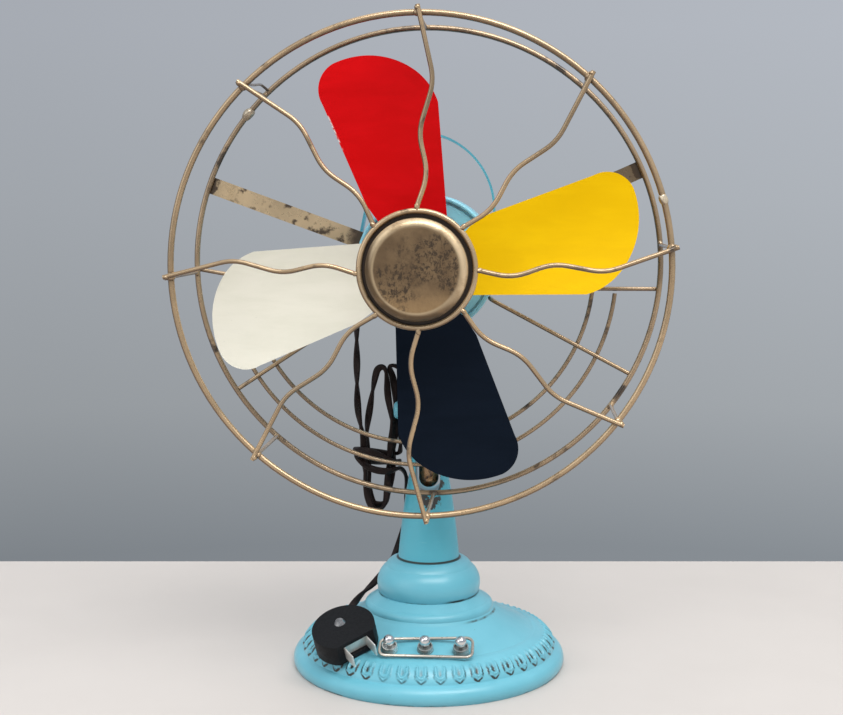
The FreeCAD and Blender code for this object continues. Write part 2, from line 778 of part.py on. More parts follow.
def make_housing_rear():
    inside = housing_rear - housing_plate
    corner = housing_radius - housing_back_round
    bulge = housing_back_round * quarter_bulge
    inner_round = housing_back_round - housing_wall
    inner_bulge = inner_round * quarter_bulge
    shell = hub_lathe((0, housing_rear), [
        (corner, housing_rear),
        ((housing_radius - bulge, housing_rear - bulge), (housing_radius, housing_rear - housing_back_round)),
        (housing_radius, housing_joint),
        (housing_bore + rabbet_wall / 2 - seat_gap, housing_joint),
        (housing_bore + rabbet_wall / 2 - seat_gap, housing_joint - rabbet_length + seat_gap),
        (housing_bore, housing_joint - rabbet_length + seat_gap),
        (housing_bore, inside - inner_round),
        ((housing_bore - inner_bulge, inside - inner_bulge), (housing_bore - inner_round, inside)),
        (0, inside)])
    shell = shell.fuse(hub_rod(bearing_boss_radius, inside - bearing_boss_length, inside + seat_gap))
    for angle in screw_places():
        post = rod(polar(through_screw_circle, angle, stator_rear),
                   polar(through_screw_circle, angle, inside + seat_gap), screw_post_radius)
        near_back = hub_rod(housing_radius, inside - inner_round, inside)
        kept = hub_rod(housing_bore - inner_round + screw_post_radius, inside - inner_round, inside)
        shell = shell.fuse(post.cut(near_back).fuse(post.common(kept)))
    shell = shell.cut(hub_rod(bush_radius + seat_gap, inside - bearing_boss_length - cut_past, inside))
    for angle in screw_places():
        shell = shell.cut(rod(polar(through_screw_circle, angle, stator_rear - cut_past),
                              polar(through_screw_circle, angle, housing_rear + cut_past),
                              through_screw_radius + running_gap))
        shell = shell.cut(rod(polar(through_screw_circle, angle, screw_seat),
                              polar(through_screw_circle, angle, housing_rear + cut_past),
                              through_screw_head_radius + 2 * running_gap))
    return shell.removeSplitter()


def outlet_boss():
    """Boss on the left of the housing where the cord comes out, facing down."""
    top = V(outlet_x, outlet_y, hub_height + outlet_top)
    boss = rod(top - V(0, 0, outlet_length), top, outlet_radius)
    web = Part.makeBox(-outlet_x - housing_bore, 2 * outlet_radius, outlet_length,
                       top - V(0, outlet_radius, outlet_length))
    bore = rod(top - V(0, 0, outlet_length + cut_past), top - V(0, 0, outlet_radius), cord_radius)
    return boss.fuse(web).cut(bore)


def make_set_screw():
    seat = V(0, neck_boss_radius - seat_gap, neck_boss_bottom + neck_boss_length / 2)
    end = V(0, stem_radius + seat_gap, seat.z)
    return rod(end, seat, set_screw_radius)


def make_housing_screws():
    return group([screw(polar(through_screw_circle, a, screw_seat), V(0, -1, 0), through_screw_radius,
                        screw_seat - screw_end - seat_gap, through_screw_head_radius, through_screw_head)
                  for a in screw_places()])


# ---- motor ----
def make_bush(y0):
    return hub_tube(bush_radius, shaft_radius + running_gap, y0, y0 + bush_length)


def make_shaft():
    return hub_rod(shaft_radius, shaft_front, bush_rear_y + bush_length - shaft_short)


def make_shaft_collars():
    front = bush_front_y + bush_length + free_gap
    rear = bush_rear_y - free_gap
    bore = shaft_radius + seat_gap
    return group([hub_tube(collar_ring_radius, bore, front, front + collar_ring_length),
                  hub_tube(collar_ring_radius, bore, rear - collar_ring_length, rear)])


def pole_angles():
    return [(k + 0.5) * 360.0 / pole_count for k in range(pole_count)]


def bar_from_hub(angle, inner, outer, width, y0, y1):
    """Square bar that points away from the hub axis."""
    box = Part.makeBox(outer - inner, y1 - y0, width, V(inner, y0, hub_height - width / 2))
    box.rotate(hub, V(0, 1, 0), -angle)
    return box


def make_stator_core():
    outer = housing_bore - seat_gap
    core = hub_tube(outer, outer - stator_yoke, stator_front, stator_rear)
    shoes = hub_tube(stator_bore + pole_shoe, stator_bore, stator_front, stator_rear)
    gap_angle = 360.0 / pole_count - pole_shoe_angle
    gap_width = 2 * stator_bore * math.sin(math.radians(gap_angle / 2))
    for angle in pole_angles():
        core = core.fuse(bar_from_hub(angle, stator_bore + pole_shoe / 2, outer - stator_yoke / 2, pole_width,
                                      stator_front, stator_rear))
        shoes = shoes.cut(bar_from_hub(angle + 180.0 / pole_count, shaft_radius, stator_bore + 2 * pole_shoe,
                                       gap_width, stator_front - cut_past, stator_rear + cut_past))
    core = core.fuse(shoes).removeSplitter()
    for angle in screw_places():
        core = core.cut(rod(polar(through_screw_circle, angle, stator_front - cut_past),
                            polar(through_screw_circle, angle, stator_rear + cut_past),
                            through_screw_radius + running_gap))
    return core


def make_field_coils():
    inner, outer = stator_bore + pole_shoe + seat_gap, housing_bore - seat_gap - stator_yoke - seat_gap
    coils = []
    for angle in pole_angles():
        inside = math.sqrt(outer ** 2 - (pole_width / 2 + coil_build) ** 2)
        coil = bar_from_hub(angle, inner, inside, pole_width + 2 * coil_build,
                            stator_front - coil_build, stator_rear + coil_build)
        hole = bar_from_hub(angle, inner - cut_past, inside + cut_past, pole_width + 2 * seat_gap,
                            stator_front - seat_gap, stator_rear + seat_gap)
        coil = coil.cut(hole)
        coils.append(coil.cut(hub_rod(stator_bore + pole_shoe + seat_gap, stator_front - 2 * coil_build,
                                      stator_rear + 2 * coil_build)))
    return group(coils)


def make_armature():
    return hub_tube(stator_bore - armature_gap, shaft_radius + seat_gap, stator_front, stator_rear)


# ---- rotor ----
def camber_shell(inner, outer):
    """Piece of a large tube that gives the blade its pitch and its hollow front."""
    a = math.radians(blade_pitch_angle)
    centre = V(0, blade_plane, hub_height) + blade_chord * (blade_camber_radius * math.sin(a))
    centre = centre - V(0, blade_camber_radius * math.cos(a), 0)
    return tube(centre, centre + blade_axis * 2 * ring_radius, blade_camber_radius + outer,
                blade_camber_radius + inner)


def blade_outline():
    """Bar with the blade's outline, long enough to take in the whole camber."""

    def at(p):
        return V(p[0], blade_plane - ring_radius / 4, hub_height + p[1])

    steps = [at(blade_waist_left), at(blade_neck_left), at(blade_heel),
             (at(blade_corner), at(blade_tip_left)), (at(blade_tip), at(blade_tip_right)),
             (at(blade_shoulder), at(blade_edge)), at(blade_neck_right), at(blade_root_right)]
    return face_of(at(blade_root_left), steps).extrude(V(0, ring_radius / 2, 0))


def blade_normal():
    a = math.radians(blade_pitch_angle)
    return blade_chord * math.sin(a) - V(0, math.cos(a), 0)


def rivet_points():
    return [V(0, blade_plane, hub_height) + blade_axis * r for r in rivet_radii]


def make_blade(turn, slide):
    half = blade_thickness / 2
    outline = blade_outline()
    outline.translate(blade_axis * slide)
    blade = camber_shell(-half, half).common(outline)
    for p in rivet_points():
        n = blade_normal() * rivet_hole_reach
        blade = blade.cut(rod(p - n, p + n, rivet_radius + running_gap))
    return around_hub(blade, turn)


def make_rotor_hub():
    half = blade_thickness / 2
    prism = Part.makeBox(2 * arm_half_width, rotor_boss_rear - rotor_boss_front, arm_reach,
                         V(-arm_half_width, rotor_boss_front, hub_height))
    prism.rotate(hub, V(0, 1, 0), 90 - blade_axis_angle)
    arm = camber_shell(half + seat_gap, half + seat_gap + arm_thickness).common(prism)
    for p in rivet_points():
        n = blade_normal() * rivet_hole_reach
        arm = arm.cut(rod(p - n, p + n, rivet_radius + running_gap))
    boss = hub_rod(rotor_boss_radius, rotor_boss_front, rotor_boss_rear)
    for turn, _ in blade_set.values():
        boss = boss.fuse(around_hub(arm, turn))
    return boss.cut(hub_rod(shaft_radius + seat_gap, 2 * rotor_boss_front, 0)).removeSplitter()


def make_blade_rivets():
    """Two rivets through each blade and its arm, with a head on both sides."""
    rivets = []
    n = blade_normal()
    front = blade_thickness / 2 + seat_gap
    back = blade_thickness / 2 + arm_thickness + 2 * seat_gap
    for p in rivet_points():
        rivet = rod(p - n * back, p + n * front, rivet_radius)
        rivet = rivet.fuse(Part.makeCone(rivet_head_radius, rivet_radius, rivet_head, p + n * front, n))
        rivet = rivet.fuse(Part.makeCone(rivet_head_radius, rivet_radius, rivet_head, p - n * back, n * -1))
        for turn, _ in blade_set.values():
            rivets.append(around_hub(rivet.removeSplitter(), turn))
    return group(rivets)


def make_hub_nut():
    return hexagon(V(0, rotor_boss_front - seat_gap, hub_height), V(0, -1, 0), hub_nut_flats,
                   hub_nut_height, shaft_radius + running_gap)


# ---- guard ----
def make_spokes():
    """Wavy wires from the hub ring to just past the front ring."""
    spokes = []
    inner = hub_ring_radius + hub_ring_wire + spoke_foot_gap
    outer = ring_radius + front_ring_wire + spoke_overhang
    slope = (hub_ring_plane - spoke_plane) / (inner - ring_radius)
    for angle, foot_aside in spoke_set.items():
        ahead = polar(1, angle, 0) - polar(0, angle, 0)
        aside = V(-ahead.z, 0, ahead.x)
        points = []
        for out, side in ((outer, 0.0),) + spoke_wave + ((inner, 0.0),):
            y = spoke_plane + slope * (out - ring_radius) - seat_gap
            lean = foot_aside * (outer - out) / (outer - inner)
            points.append(V(0, y, hub_height) + ahead * out + aside * (side + lean))
        path, _ = rounded_path(points, spoke_bend_radius)
        spokes.append(swept(path, spoke_wire))
    return group(spokes)


def make_guard_ties():
    """Short wires between the two rings, one behind each spoke."""
    front = front_ring_plane + front_ring_wire + seat_gap
    rear = rear_ring_plane - rear_ring_wire - seat_gap
    return group([rod(polar(ring_radius, a, front), polar(ring_radius, a, rear), tie_wire)
                  for a in spoke_set])


def make_badge_cap():
    """Pressed cap over the middle of the guard: flat face, round shoulder, flange behind the hub ring."""
    t = badge_sheet
    flange = badge_flange_plane
    knee = (badge_radius - quarter_bulge * (badge_radius - badge_flat_radius),
            badge_front + quarter_bulge * badge_bevel)
    knee_in = (knee[0] - (1 - quarter_bulge) * t, knee[1] + (1 - quarter_bulge) * t)
    return hub_lathe((0, badge_front), [
        (badge_flat_radius, badge_front),
        (knee, (badge_radius, badge_front + badge_bevel)),
        (badge_radius, flange), (hub_ring_radius, flange), (hub_ring_radius, flange + t),
        (badge_radius - t, flange + t), (badge_radius - t, badge_front + badge_bevel),
        (knee_in, (badge_flat_radius, badge_front + t)), (0, badge_front + t)])


def strap_screw_y():
    return strap_plane + strap_thickness + strap_tab / 2


def make_strap(angle):
    """Flat strip from the back of the rear ring to the housing, bent back along its side."""
    seat = housing_radius + seat_gap
    y0 = strap_plane + seat_gap
    y1 = y0 + strap_thickness
    inside, outside = seat - strap_thickness, seat + 2 * strap_thickness
    flat = bar_from_hub(angle, inside, ring_radius, strap_width, y0, y1)
    tab = bar_from_hub(angle, inside, outside, strap_width, y0, y1 + strap_tab)
    sleeve = hub_tube(seat + strap_thickness, seat, y0, y1 + strap_tab)
    flat = flat.cut(hub_rod(seat, y0 - cut_past, y1 + cut_past))
    strap = flat.fuse(tab.common(sleeve)).removeSplitter()
    return strap.cut(rod(polar(housing_radius, angle, strap_screw_y()),
                         polar(outside, angle, strap_screw_y()), strap_screw_radius + running_gap))


def make_strap_screws():
    screws = []
    for angle in strap_angles:
        seat = polar(housing_radius + strap_thickness + 3 * seat_gap, angle, strap_screw_y())
        inward = V(0, seat.y, hub_height) - seat
        screws.append(screw(seat, inward, strap_screw_radius, strap_screw_length,
                            strap_screw_head_radius, strap_screw_head))
    return group(screws)


def make_strut(angle):
    """Wire from the inside of the rear ring to the housing, bent back along its side."""
    out = polar(ring_radius - rear_ring_wire - seat_gap, angle, strut_plane)
    knee = polar(housing_radius + strut_wire + seat_gap, angle, strut_plane)
    tail = polar(housing_radius + strut_wire + seat_gap, angle, strut_plane + strut_tab)
    path, _ = rounded_path([out, knee, tail], strut_bend_radius)
    return swept(path, strut_wire)


def arc_wire(radius, right_end, left_end):
    """Lower arc of round wire between two heights over the hub axis."""
    centre = V(arc_centre[0], arc_plane, hub_height + arc_centre[1])

    def on_circle(height, side):
        dz = height - arc_centre[1]
        return V(arc_centre[0] + side * math.sqrt(radius ** 2 - dz ** 2), arc_plane, hub_height + height)

    a, b = on_circle(right_end, 1), on_circle(left_end, -1)
    low = centre - V(0, 0, radius)
    path = Part.Wire(Part.Arc(a, low, b).toShape())
    return swept(path, strut_wire), a, b


def make_inner_arc():
    """Lower wire: an arc whose ends turn outwards and run level to the rear ring."""
    arc, right, left = arc_wire(inner_arc_radius, arc_end_right, arc_end_left)
    reach = ring_radius - rear_ring_wire / 2
    ring_right = V(math.sqrt(reach ** 2 - arc_end_right ** 2), arc_plane + seat_gap, right.z)
    climb = arc_end_left + arc_rise_left
    ring_left = V(-math.sqrt(reach ** 2 - climb ** 2), arc_plane + seat_gap, hub_height + climb)
    wire = arc.fuse([Part.makeSphere(strut_wire, right), Part.makeSphere(strut_wire, left),
                     rod(right, ring_right, strut_wire), rod(left, ring_left, strut_wire)])
    return wire.removeSplitter()


def make_outer_arc():
    drop = 2 * strut_wire + 2 * seat_gap
    rise = arc_rise_left * (outer_arc_radius - inner_arc_radius) / (ring_radius - inner_arc_radius)
    arc, _, _ = arc_wire(outer_arc_radius, arc_end_right - drop, arc_end_left - drop + rise)
    return arc


# ---- carry handle ----
def make_carry_handle():
    """Thin strip bent into an arch, with flat feet on the sides of the housing."""
    half = handle_half_span
    spring = hub_height + handle_spring
    offset = handle_flank_radius - half
    rise = math.sqrt((handle_flank_radius - handle_crown_radius) ** 2 - offset ** 2)
    crown = V(0, 0, spring + rise)
    flank = V(-offset, 0, spring)
    lean = math.atan2(rise, offset)
    foot_x = housing_radius + handle_pad_rise + seat_gap

    def side(extra, sign):
        """Corners of one half of the strip, on its inside or its outside."""
        rf, rc = handle_flank_radius + extra, handle_crown_radius + extra

        def at(centre, radius, angle):
            p = centre + V(radius * math.cos(angle), 0, radius * math.sin(angle))
            return V(sign * p.x, 0, p.z)

        foot_top = V(sign * (foot_x + extra), 0, hub_height + handle_foot_top)
        foot_end = V(sign * (foot_x + extra), 0, hub_height + handle_foot_bottom)
        return (foot_end, foot_top, at(flank, rf, 0), at(flank, rf, lean / 2), at(flank, rf, lean),
                at(crown, rc, math.pi / 2))

    t = handle_thickness
    o_end, o_top, o_spring, o_flank, o_meet, o_apex = side(t, 1)
    p_end, p_top, p_spring, p_flank, p_meet, p_apex = side(t, -1)
    i_end, i_top, i_spring, i_flank, i_meet, i_apex = side(0, 1)
    j_end, j_top, j_spring, j_flank, j_meet, j_apex = side(0, -1)
    strip = face_of(o_end, [o_top, o_spring, (o_flank, o_meet), (o_apex, p_meet), (p_flank, p_spring), p_top,
                            p_end, j_end, j_top, j_spring, (j_flank, j_meet), (i_apex, i_meet),
                            (i_flank, i_spring), i_top, i_end])
    handle = strip.extrude(V(0, handle_width, 0))
    handle.translate(V(0, handle_plane - handle_width / 2, 0))
    return handle_holes(handle)


def make_handle_screws():
    z = hub_height + handle_hole
    x = housing_radius + handle_pad_rise + handle_thickness + 2 * seat_gap
    return group([screw(V(s * x, handle_plane, z), V(-s, 0, 0), handle_screw_radius, handle_screw_length,
                        handle_screw_head_radius, handle_screw_head) for s in (-1, 1)])


# ---- cord and plug ----
def make_cord_grommet():
    top = V(outlet_x, outlet_y, hub_height + outlet_top - outlet_length)
    return Part.makeCone(grommet_radius, grommet_tip_radius, grommet_length, top, V(0, 0, -1))


cord_exit = V(outlet_x, outlet_y, hub_height + outlet_top - outlet_length - grommet_length)


def cord_run(points, name):
    path, radii = rounded_path(points)
    solid = swept(path, cord_radius)
    wanted = math.pi * cord_radius ** 2 * path.Length
    print(name, "length %.1f" % path.Length, "radii", " ".join("%.1f" % r for r in radii),
          "volume over section times length %.4f" % (solid.Volume / wanted))
    return solid


def make_cord_upper():
    end = V(upper_cord_end[0], upper_cord_end[1], pivot_height)
    run = cord_run([cord_exit] + [V(*p) for p in upper_cord] + [end], "cord_upper")
    return run.fuse(Part.makeSphere(cord_radius, end)).removeSplitter()


def plug_frame():
    """The plug's middle, its axis, and its own x and y directions."""
    t, a = math.radians(plug_tilt), math.radians(plug_turn)
    axis = V(math.sin(t) * math.cos(a), math.sin(t) * math.sin(a), math.cos(t))
    across = V(0, 0, 1).cross(axis).normalize()
    return V(*plug_centre), axis, across, axis.cross(across)


def plug_nub():
    """End of the cord's socket on the plug, and the direction out of it."""
    middle = plug_frame()[0]
    out = (V(*plug_nub_aim) - middle).normalize()
    return middle + out * plug_nub_reach, out


def make_cord_lower():
    end, out = plug_nub()
    points = [V(*p) for p in lower_cord] + [V(*plug_nub_aim), end]
    return cord_run(points, "cord_lower").cut(wrap_block())


def make_cord_hank():
    """Outer form of the folded cord's flat loops."""
    half = (hank_right - hank_left) / 2
    x = hank_left + half
    high, low = hank_top - half, hank_bottom + half
    loop = face_of(V(hank_left, 0, low), [
        (V(x, 0, hank_bottom), V(hank_right, 0, low)), V(hank_right, 0, high),
        (V(x, 0, hank_top), V(hank_left, 0, high))])
    loop = loop.extrude(V(0, 2 * hank_half_depth, 0))
    loop.translate(V(0, hank_plane - hank_half_depth, 0))
    return loop


def wrap_block():
    wrap = Part.makeBox(wrap_right - wrap_left, 2 * wrap_half_depth, wrap_top - wrap_bottom,
                        V(wrap_left, hank_plane - wrap_half_depth, wrap_bottom))
    return wrap.makeFillet(wrap_round, [e for e in wrap.Edges if e.BoundBox.ZLength > wrap_round])


def make_cord_wrap():
    """Outer form of the turns round the middle of the loops, with the end that goes up to the head."""
    top = V(upper_cord_end[0], upper_cord_end[1], pivot_height - cord_radius - stub_gap)
    stub = rod(V(*stub_foot), top, cord_radius)
    return wrap_block().fuse(stub).cut(make_cord_hank()).removeSplitter()


def in_plug(shape):
    """Moves a shape from the plug's own frame, with its axis along Z, to its place."""
    middle, axis, across, along = plug_frame()
    matrix = FreeCAD.Matrix(across.x, along.x, axis.x, middle.x,
                            across.y, along.y, axis.y, middle.y,
                            across.z, along.z, axis.z, middle.z, 0, 0, 0, 1)
    return shape.transformed(matrix)


def make_plug_body():
    half = plug_height / 2
    drum = Part.makeCylinder(plug_radius, plug_height, V(0, 0, -half))
    side = Part.makeBox(plug_radius, 4 * plug_radius, 2 * plug_height,
                        V(plug_flat, -2 * plug_radius, -plug_height))
    drum = drum.cut(side)
    pocket = Part.makeBox(prong_recess + cut_past, 2 * prong_half_gap + 2 * prong_thickness + 2 * seat_gap,
                          prong_width + 2 * seat_gap,
                          V(plug_flat - prong_recess, -prong_half_gap - prong_thickness - seat_gap,
                            -prong_width / 2 - seat_gap))
    drum = drum.cut(pocket)
    drum.rotate(V(0, 0, 0), V(0, 0, 1), plug_flat_turn)
    drum = drum.cut(Part.makeCylinder(plug_rivet_radius + seat_gap, plug_height,
                                      V(plug_rivet_offset[0], plug_rivet_offset[1], 0)))
    placed = in_plug(drum)
    middle = plug_frame()[0]
    end, out = plug_nub()
    nub = rod(middle + out * (plug_radius - plug_nub_radius), end, plug_nub_radius)
    return placed.fuse(nub).removeSplitter()


def make_plug_prongs():
    """Bright strip bent into a U: its web lies in the flat of the plug and its legs stick out."""
    inner, outer = prong_half_gap, prong_half_gap + prong_thickness
    web = plug_flat - prong_recess + seat_gap
    tip = plug_flat + prong_reach
    points = [(web, -outer), (tip, -outer), (tip, -inner), (web + prong_thickness, -inner),
              (web + prong_thickness, inner), (tip, inner), (tip, outer), (web, outer)]
    outline = [V(x, y, -prong_width / 2) for x, y in points]
    strip = Part.Face(Part.makePolygon(outline + outline[:1])).extrude(V(0, 0, prong_width))
    strip.rotate(V(0, 0, 0), V(0, 0, 1), plug_flat_turn)
    return in_plug(strip)


def make_plug_rivet():
    x, y = plug_rivet_offset
    top = plug_height / 2 + seat_gap
    rivet = Part.makeCylinder(plug_rivet_radius, top - seat_gap, V(x, y, seat_gap))
    head = Part.makeCone(plug_rivet_head_radius, plug_rivet_radius, plug_rivet_head, V(x, y, top))
    rivet = rivet.fuse(head)
    rivet = rivet.fuse(Part.makeCylinder(plug_rivet_radius, seat_gap, V(x, y, top - seat_gap)))
    return in_plug(rivet.removeSplitter())


# ---- write every piece ----
pieces = {
    "foot": make_foot(),
    "base_plate": make_base_plate(),
    "bulb": make_bulb(),
    "post": make_post(),
    "tie_rod": make_tie_rod(),
    "base_washer": make_base_washer(),
    "base_nut": make_base_nut(),
    "tilt_nut": make_tilt_nut(),
    "switch_cups": make_switch_cups(),
    "switch_frame": make_switch_frame(),
    "switch_block": make_switch_block(),
    "switch_cover": make_switch_cover(),
    "tilt_bolt": make_tilt_bolt(),
    "tilt_knob": make_tilt_knob(),
    "stem": make_stem(),
    "friction_washers": make_friction_washers(),
    "housing_front": make_housing_front(),
    "housing_rear": make_housing_rear(),
    "stem_set_screw": make_set_screw(),
    "housing_screws": make_housing_screws(),
    "bushes": group([make_bush(bush_front_y), make_bush(bush_rear_y)]),
    "stator_core": make_stator_core(),
    "field_coils": make_field_coils(),
    "carry_handle": make_carry_handle(),
    "handle_screws": make_handle_screws(),
    "shaft": make_shaft(),
    "shaft_collars": make_shaft_collars(),
    "armature": make_armature(),
    "rotor_hub": make_rotor_hub(),
    "blade_rivets": make_blade_rivets(),
    "hub_nut": make_hub_nut(),
    "front_ring": ring(ring_radius, front_ring_wire, front_ring_plane),
    "spokes": make_spokes(),
    "guard_ties": make_guard_ties(),
    "rear_ring": ring(ring_radius, rear_ring_wire, rear_ring_plane),
    "hub_ring": ring(hub_ring_radius, hub_ring_wire, hub_ring_plane),
    "badge_cap": make_badge_cap(),
    "straps": group([make_strap(angle) for angle in strap_angles]),
    "strap_screws": make_strap_screws(),
    "struts": group([make_strut(angle) for angle in strut_angles]),
    "inner_arc": make_inner_arc(),
    "outer_arc": make_outer_arc(),
    "cord_grommet": make_cord_grommet(),
    "cord_upper": make_cord_upper(),
    "cord_hank": make_cord_hank(),
    "cord_wrap": make_cord_wrap(),
    "cord_lower": make_cord_lower(),
    "plug_body": make_plug_body(),
    "plug_prongs": make_plug_prongs(),
    "plug_rivet": make_plug_rivet(),
}
for colour, (turn, slide) in blade_set.items():
    pieces["blade_" + colour] = make_blade(turn, slide)
for side, u in zip(("left", "middle", "right"), button_places):
    pieces["button_ball_" + side] = make_button_ball(u)
    pieces["button_plunger_" + side] = make_button_plunger(u)

for name, shape in pieces.items():
    shape.exportStep(os.path.join("parts", name + ".step"))
    state = "" if shape.isValid() else "  NOT VALID"
    print("%-22s solids %2d  volume %10.1f%s" % (name, len(shape.Solids), shape.Volume, state))
print(len(pieces), "pieces")
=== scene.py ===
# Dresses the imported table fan: camera and light, the folded cord, the stamped border of the
# foot, the beads where the wires of the guard meet, one bent tie wire, and the finish of
# every piece. Metres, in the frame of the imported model: +Z up, the fan faces -Y.
import bmesh
import bpy
import math
import random
from mathutils import Matrix, Vector, noise


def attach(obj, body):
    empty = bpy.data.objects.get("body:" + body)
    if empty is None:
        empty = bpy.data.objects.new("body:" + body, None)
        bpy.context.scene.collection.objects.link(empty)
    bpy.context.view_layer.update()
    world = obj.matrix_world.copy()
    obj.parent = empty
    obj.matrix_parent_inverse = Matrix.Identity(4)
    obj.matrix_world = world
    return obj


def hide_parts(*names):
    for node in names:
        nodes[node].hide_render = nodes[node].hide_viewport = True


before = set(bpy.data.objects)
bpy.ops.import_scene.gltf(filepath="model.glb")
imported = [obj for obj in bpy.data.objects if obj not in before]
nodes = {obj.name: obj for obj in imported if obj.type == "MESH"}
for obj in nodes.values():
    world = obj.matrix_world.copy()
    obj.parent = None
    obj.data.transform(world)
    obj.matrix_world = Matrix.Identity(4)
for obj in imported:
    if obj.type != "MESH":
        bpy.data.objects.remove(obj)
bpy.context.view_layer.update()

# ---- camera, fitted to the guard rings, the foot and the post ----
photo_width = 843              # pixels
focal_pixels = 1341.5
sensor_width = 36.0            # millimetres
camera_place = Vector((0.0517, -0.7382, 0.2534))
camera_turn = math.radians(4.323)
camera_dip = math.radians(6.250)

# ---- surroundings ----
table_back = 0.213             # distance from the origin to the table's back edge
table_front = 1.6
table_half_width = 2.2
table_thickness = 0.035
# colours of the backdrop from the table up, and how bright its left and right sides are
wall_tones = (
    (0.297, (0.227, 0.250, 0.274)), (0.382, (0.330, 0.353, 0.376)), (0.506, (0.386, 0.413, 0.448)),
    (0.608, (0.418, 0.445, 0.491)))
wall_sides = (0.92, 1.09)
# directions, as parts of a unit vector: height at the backdrop's ends, x at its sides
wall_heights = (-0.6, 0.6)
wall_reach = (-0.35, 0.22)
# the light from the room: its colour, and its strength at these heights
light_colour = (0.93, 0.97, 1.0)
light_heights = (-0.15, 0.95)
light_strengths = (0.26, 0.95)
lamp_aim = Vector((0, 0, 0.18))
table_colour = (0.59, 0.548, 0.522)

# ---- the object's own sizes that the pieces here need ----
hub = Vector((0, 0, 0.2247))
ring_radius = 0.124
front_ring_plane = -0.078
rear_ring_plane = -0.0225
front_ring_wire = 0.0016       # wires by their radius
spoke_wire = 0.0012
hub_ring_radius = 0.0286
hub_ring_plane = -0.085
# degrees at which the tip of each spoke points, and how far its foot stands aside on the hub ring
spoke_set = {
    5: -0.0030, 48.3: -0.0031, 90: 0.0, 134: 0.0002, 182: 0.0010, 229: -0.0008, 272: -0.0003, 323: -0.0025,
}


# ---- small helpers for geometry ----
def link(obj):
    bpy.context.scene.collection.objects.link(obj)
    return obj


def mesh_object(name, bm, smooth=True):
    """Object from a bmesh, with outward normals."""
    bmesh.ops.recalc_face_normals(bm, faces=bm.faces)
    for face in bm.faces:
        face.smooth = smooth
    data = bpy.data.meshes.new(name)
    bm.to_mesh(data)
    bm.free()
    return link(bpy.data.objects.new(name, data))


def polar(radius, degrees, y):
    """Place at a distance and a direction from the hub axis."""
    a = math.radians(degrees)
    return Vector((radius * math.cos(a), y, hub.z + radius * math.sin(a)))


def millimetres(*points):
    return [Vector(p) * 0.001 for p in points]


def heading(route, i):
    """Direction of a route at one of its points."""
    return (route[min(i + 1, len(route) - 1)] - route[max(i - 1, 0)]).normalized()


def skin(bm, rings):
    """Faces from each ring of a tube to the next, and one over each end."""
    for near, far in zip(rings, rings[1:]):
        for k in range(len(near)):
            n = (k + 1) % len(near)
            bm.faces.new((near[k], near[n], far[n], far[k]))
    bm.faces.new(rings[0])
    bm.faces.new(rings[-1])


def make_camera():
    data = bpy.data.cameras.new("camera")
    data.sensor_width = sensor_width
    data.lens = focal_pixels * sensor_width / photo_width
    data.clip_start, data.clip_end = 0.01, 20
    camera = link(bpy.data.objects.new("camera", data))
    camera.location = camera_place
    camera.rotation_euler = (math.pi / 2 - camera_dip, 0, camera_turn)
    bpy.context.scene.camera = camera


make_camera()

# ---- cord: one flat twisted flex, from the housing through the hank to the plug ----
strand_radius = 0.00103
strand_offset = 0.00097
cover_waist = 0.62             # the cover's thickness between the cores, as a share of a core's
twist_length = 0.050           # one full turn of the two cores
twist_change = 0.35            # share by which the twist varies along the cord
twist_patches = 45             # how often it varies, per metre
first_twist = 0.4
cord_step = 0.0006
ring_points = 20
bend_search = 200              # the tilt axis is passed within this many steps

upper_points = millimetres(
    (-42.0, 14.0, 195.2), (-42.0, 14.0, 184.4), (-41.6, 11.0, 170.2), (-40.8, 4.6, 156.4),
    (-39.9, 0.0, 142.7))
to_hank = millimetres((-38.4, -0.4, 134.5), (-36.8, -0.8, 128.0))
# the legs of the hank, down one and up the next: depth, and where each runs at these heights
leg_heights = (160.5, 151.0, 142.0, 132.5, 120.5, 107.4, 96.5, 89.5)
hank_legs = (
    (-0.6, (-36.4, -35.9, -35.1, -33.4)),
    (1.2, (-23.5, -23.2, -21.6, -20.2, -21.8, -23.0, -23.6, -24.6)),
    (3.4, (-30.5, -32.2, -33.6, -35.2, -35.4, -34.2, -33.8, -32.4)),
    (4.8, (-20.3, -19.4, -19.2, -19.0, -20.2, -21.0, -22.4, -24.4)),
    (5.4, (-12.8, -13.2, -14.4, -15.8, -16.4)),
)
# the points round its bottoms and over its tops, between those legs
hank_bends = (
    ((-31.2, 0.0, 86.0), (-27.0, 0.5, 85.8)),
    ((-24.6, 1.9, 166.8), (-28.8, 2.6, 166.2)),
    ((-30.8, 3.8, 88.0), (-26.6, 4.3, 87.8)),
    ((-22.6, 4.3, 165.8), (-21.6, 4.4, 167.6), (-17.6, 4.8, 166.6), (-14.2, 5.1, 164.2)),
)
# the turns round its middle: places seen from above, and the height of each turn there
wrap_places = (
    (-16.6, 4.6), (-19.0, 8.4), (-25.0, 9.4), (-33.0, 9.0), (-39.4, 7.2), (-41.6, 2.6), (-39.2, -3.0),
    (-34.4, -4.6), (-28.8, -4.8), (-23.2, -4.4), (-18.8, -2.8), (-16.4, 0.6))
wrap_heights = (
    (117.8, 116.6, 116.4, 117.4, 118.8, 120.0, 120.8, 120.2, 118.4, 116.0, 114.0, 112.8),
    (112.4, 111.4, 110.8, 111.6, 113.8, 116.0, 114.6, 111.2, 109.2, 108.6, 109.4, 110.0))
lower_points = millimetres(
    (-14.0, 4.4, 107.0), (-12.8, 7.8, 101.0), (-12.9, 12.4, 92.4), (-14.0, 17.8, 80.8), (-16.0, 20.6, 70.0),
    (-19.4, 21.6, 59.2), (-24.8, 21.4, 48.6), (-32.0, 16.4, 39.6), (-38.9, 6.5, 35.0), (-41.9, -4.2, 32.9),
    (-44.0, -14.0, 31.2), (-43.07, -26.16, 30.01))


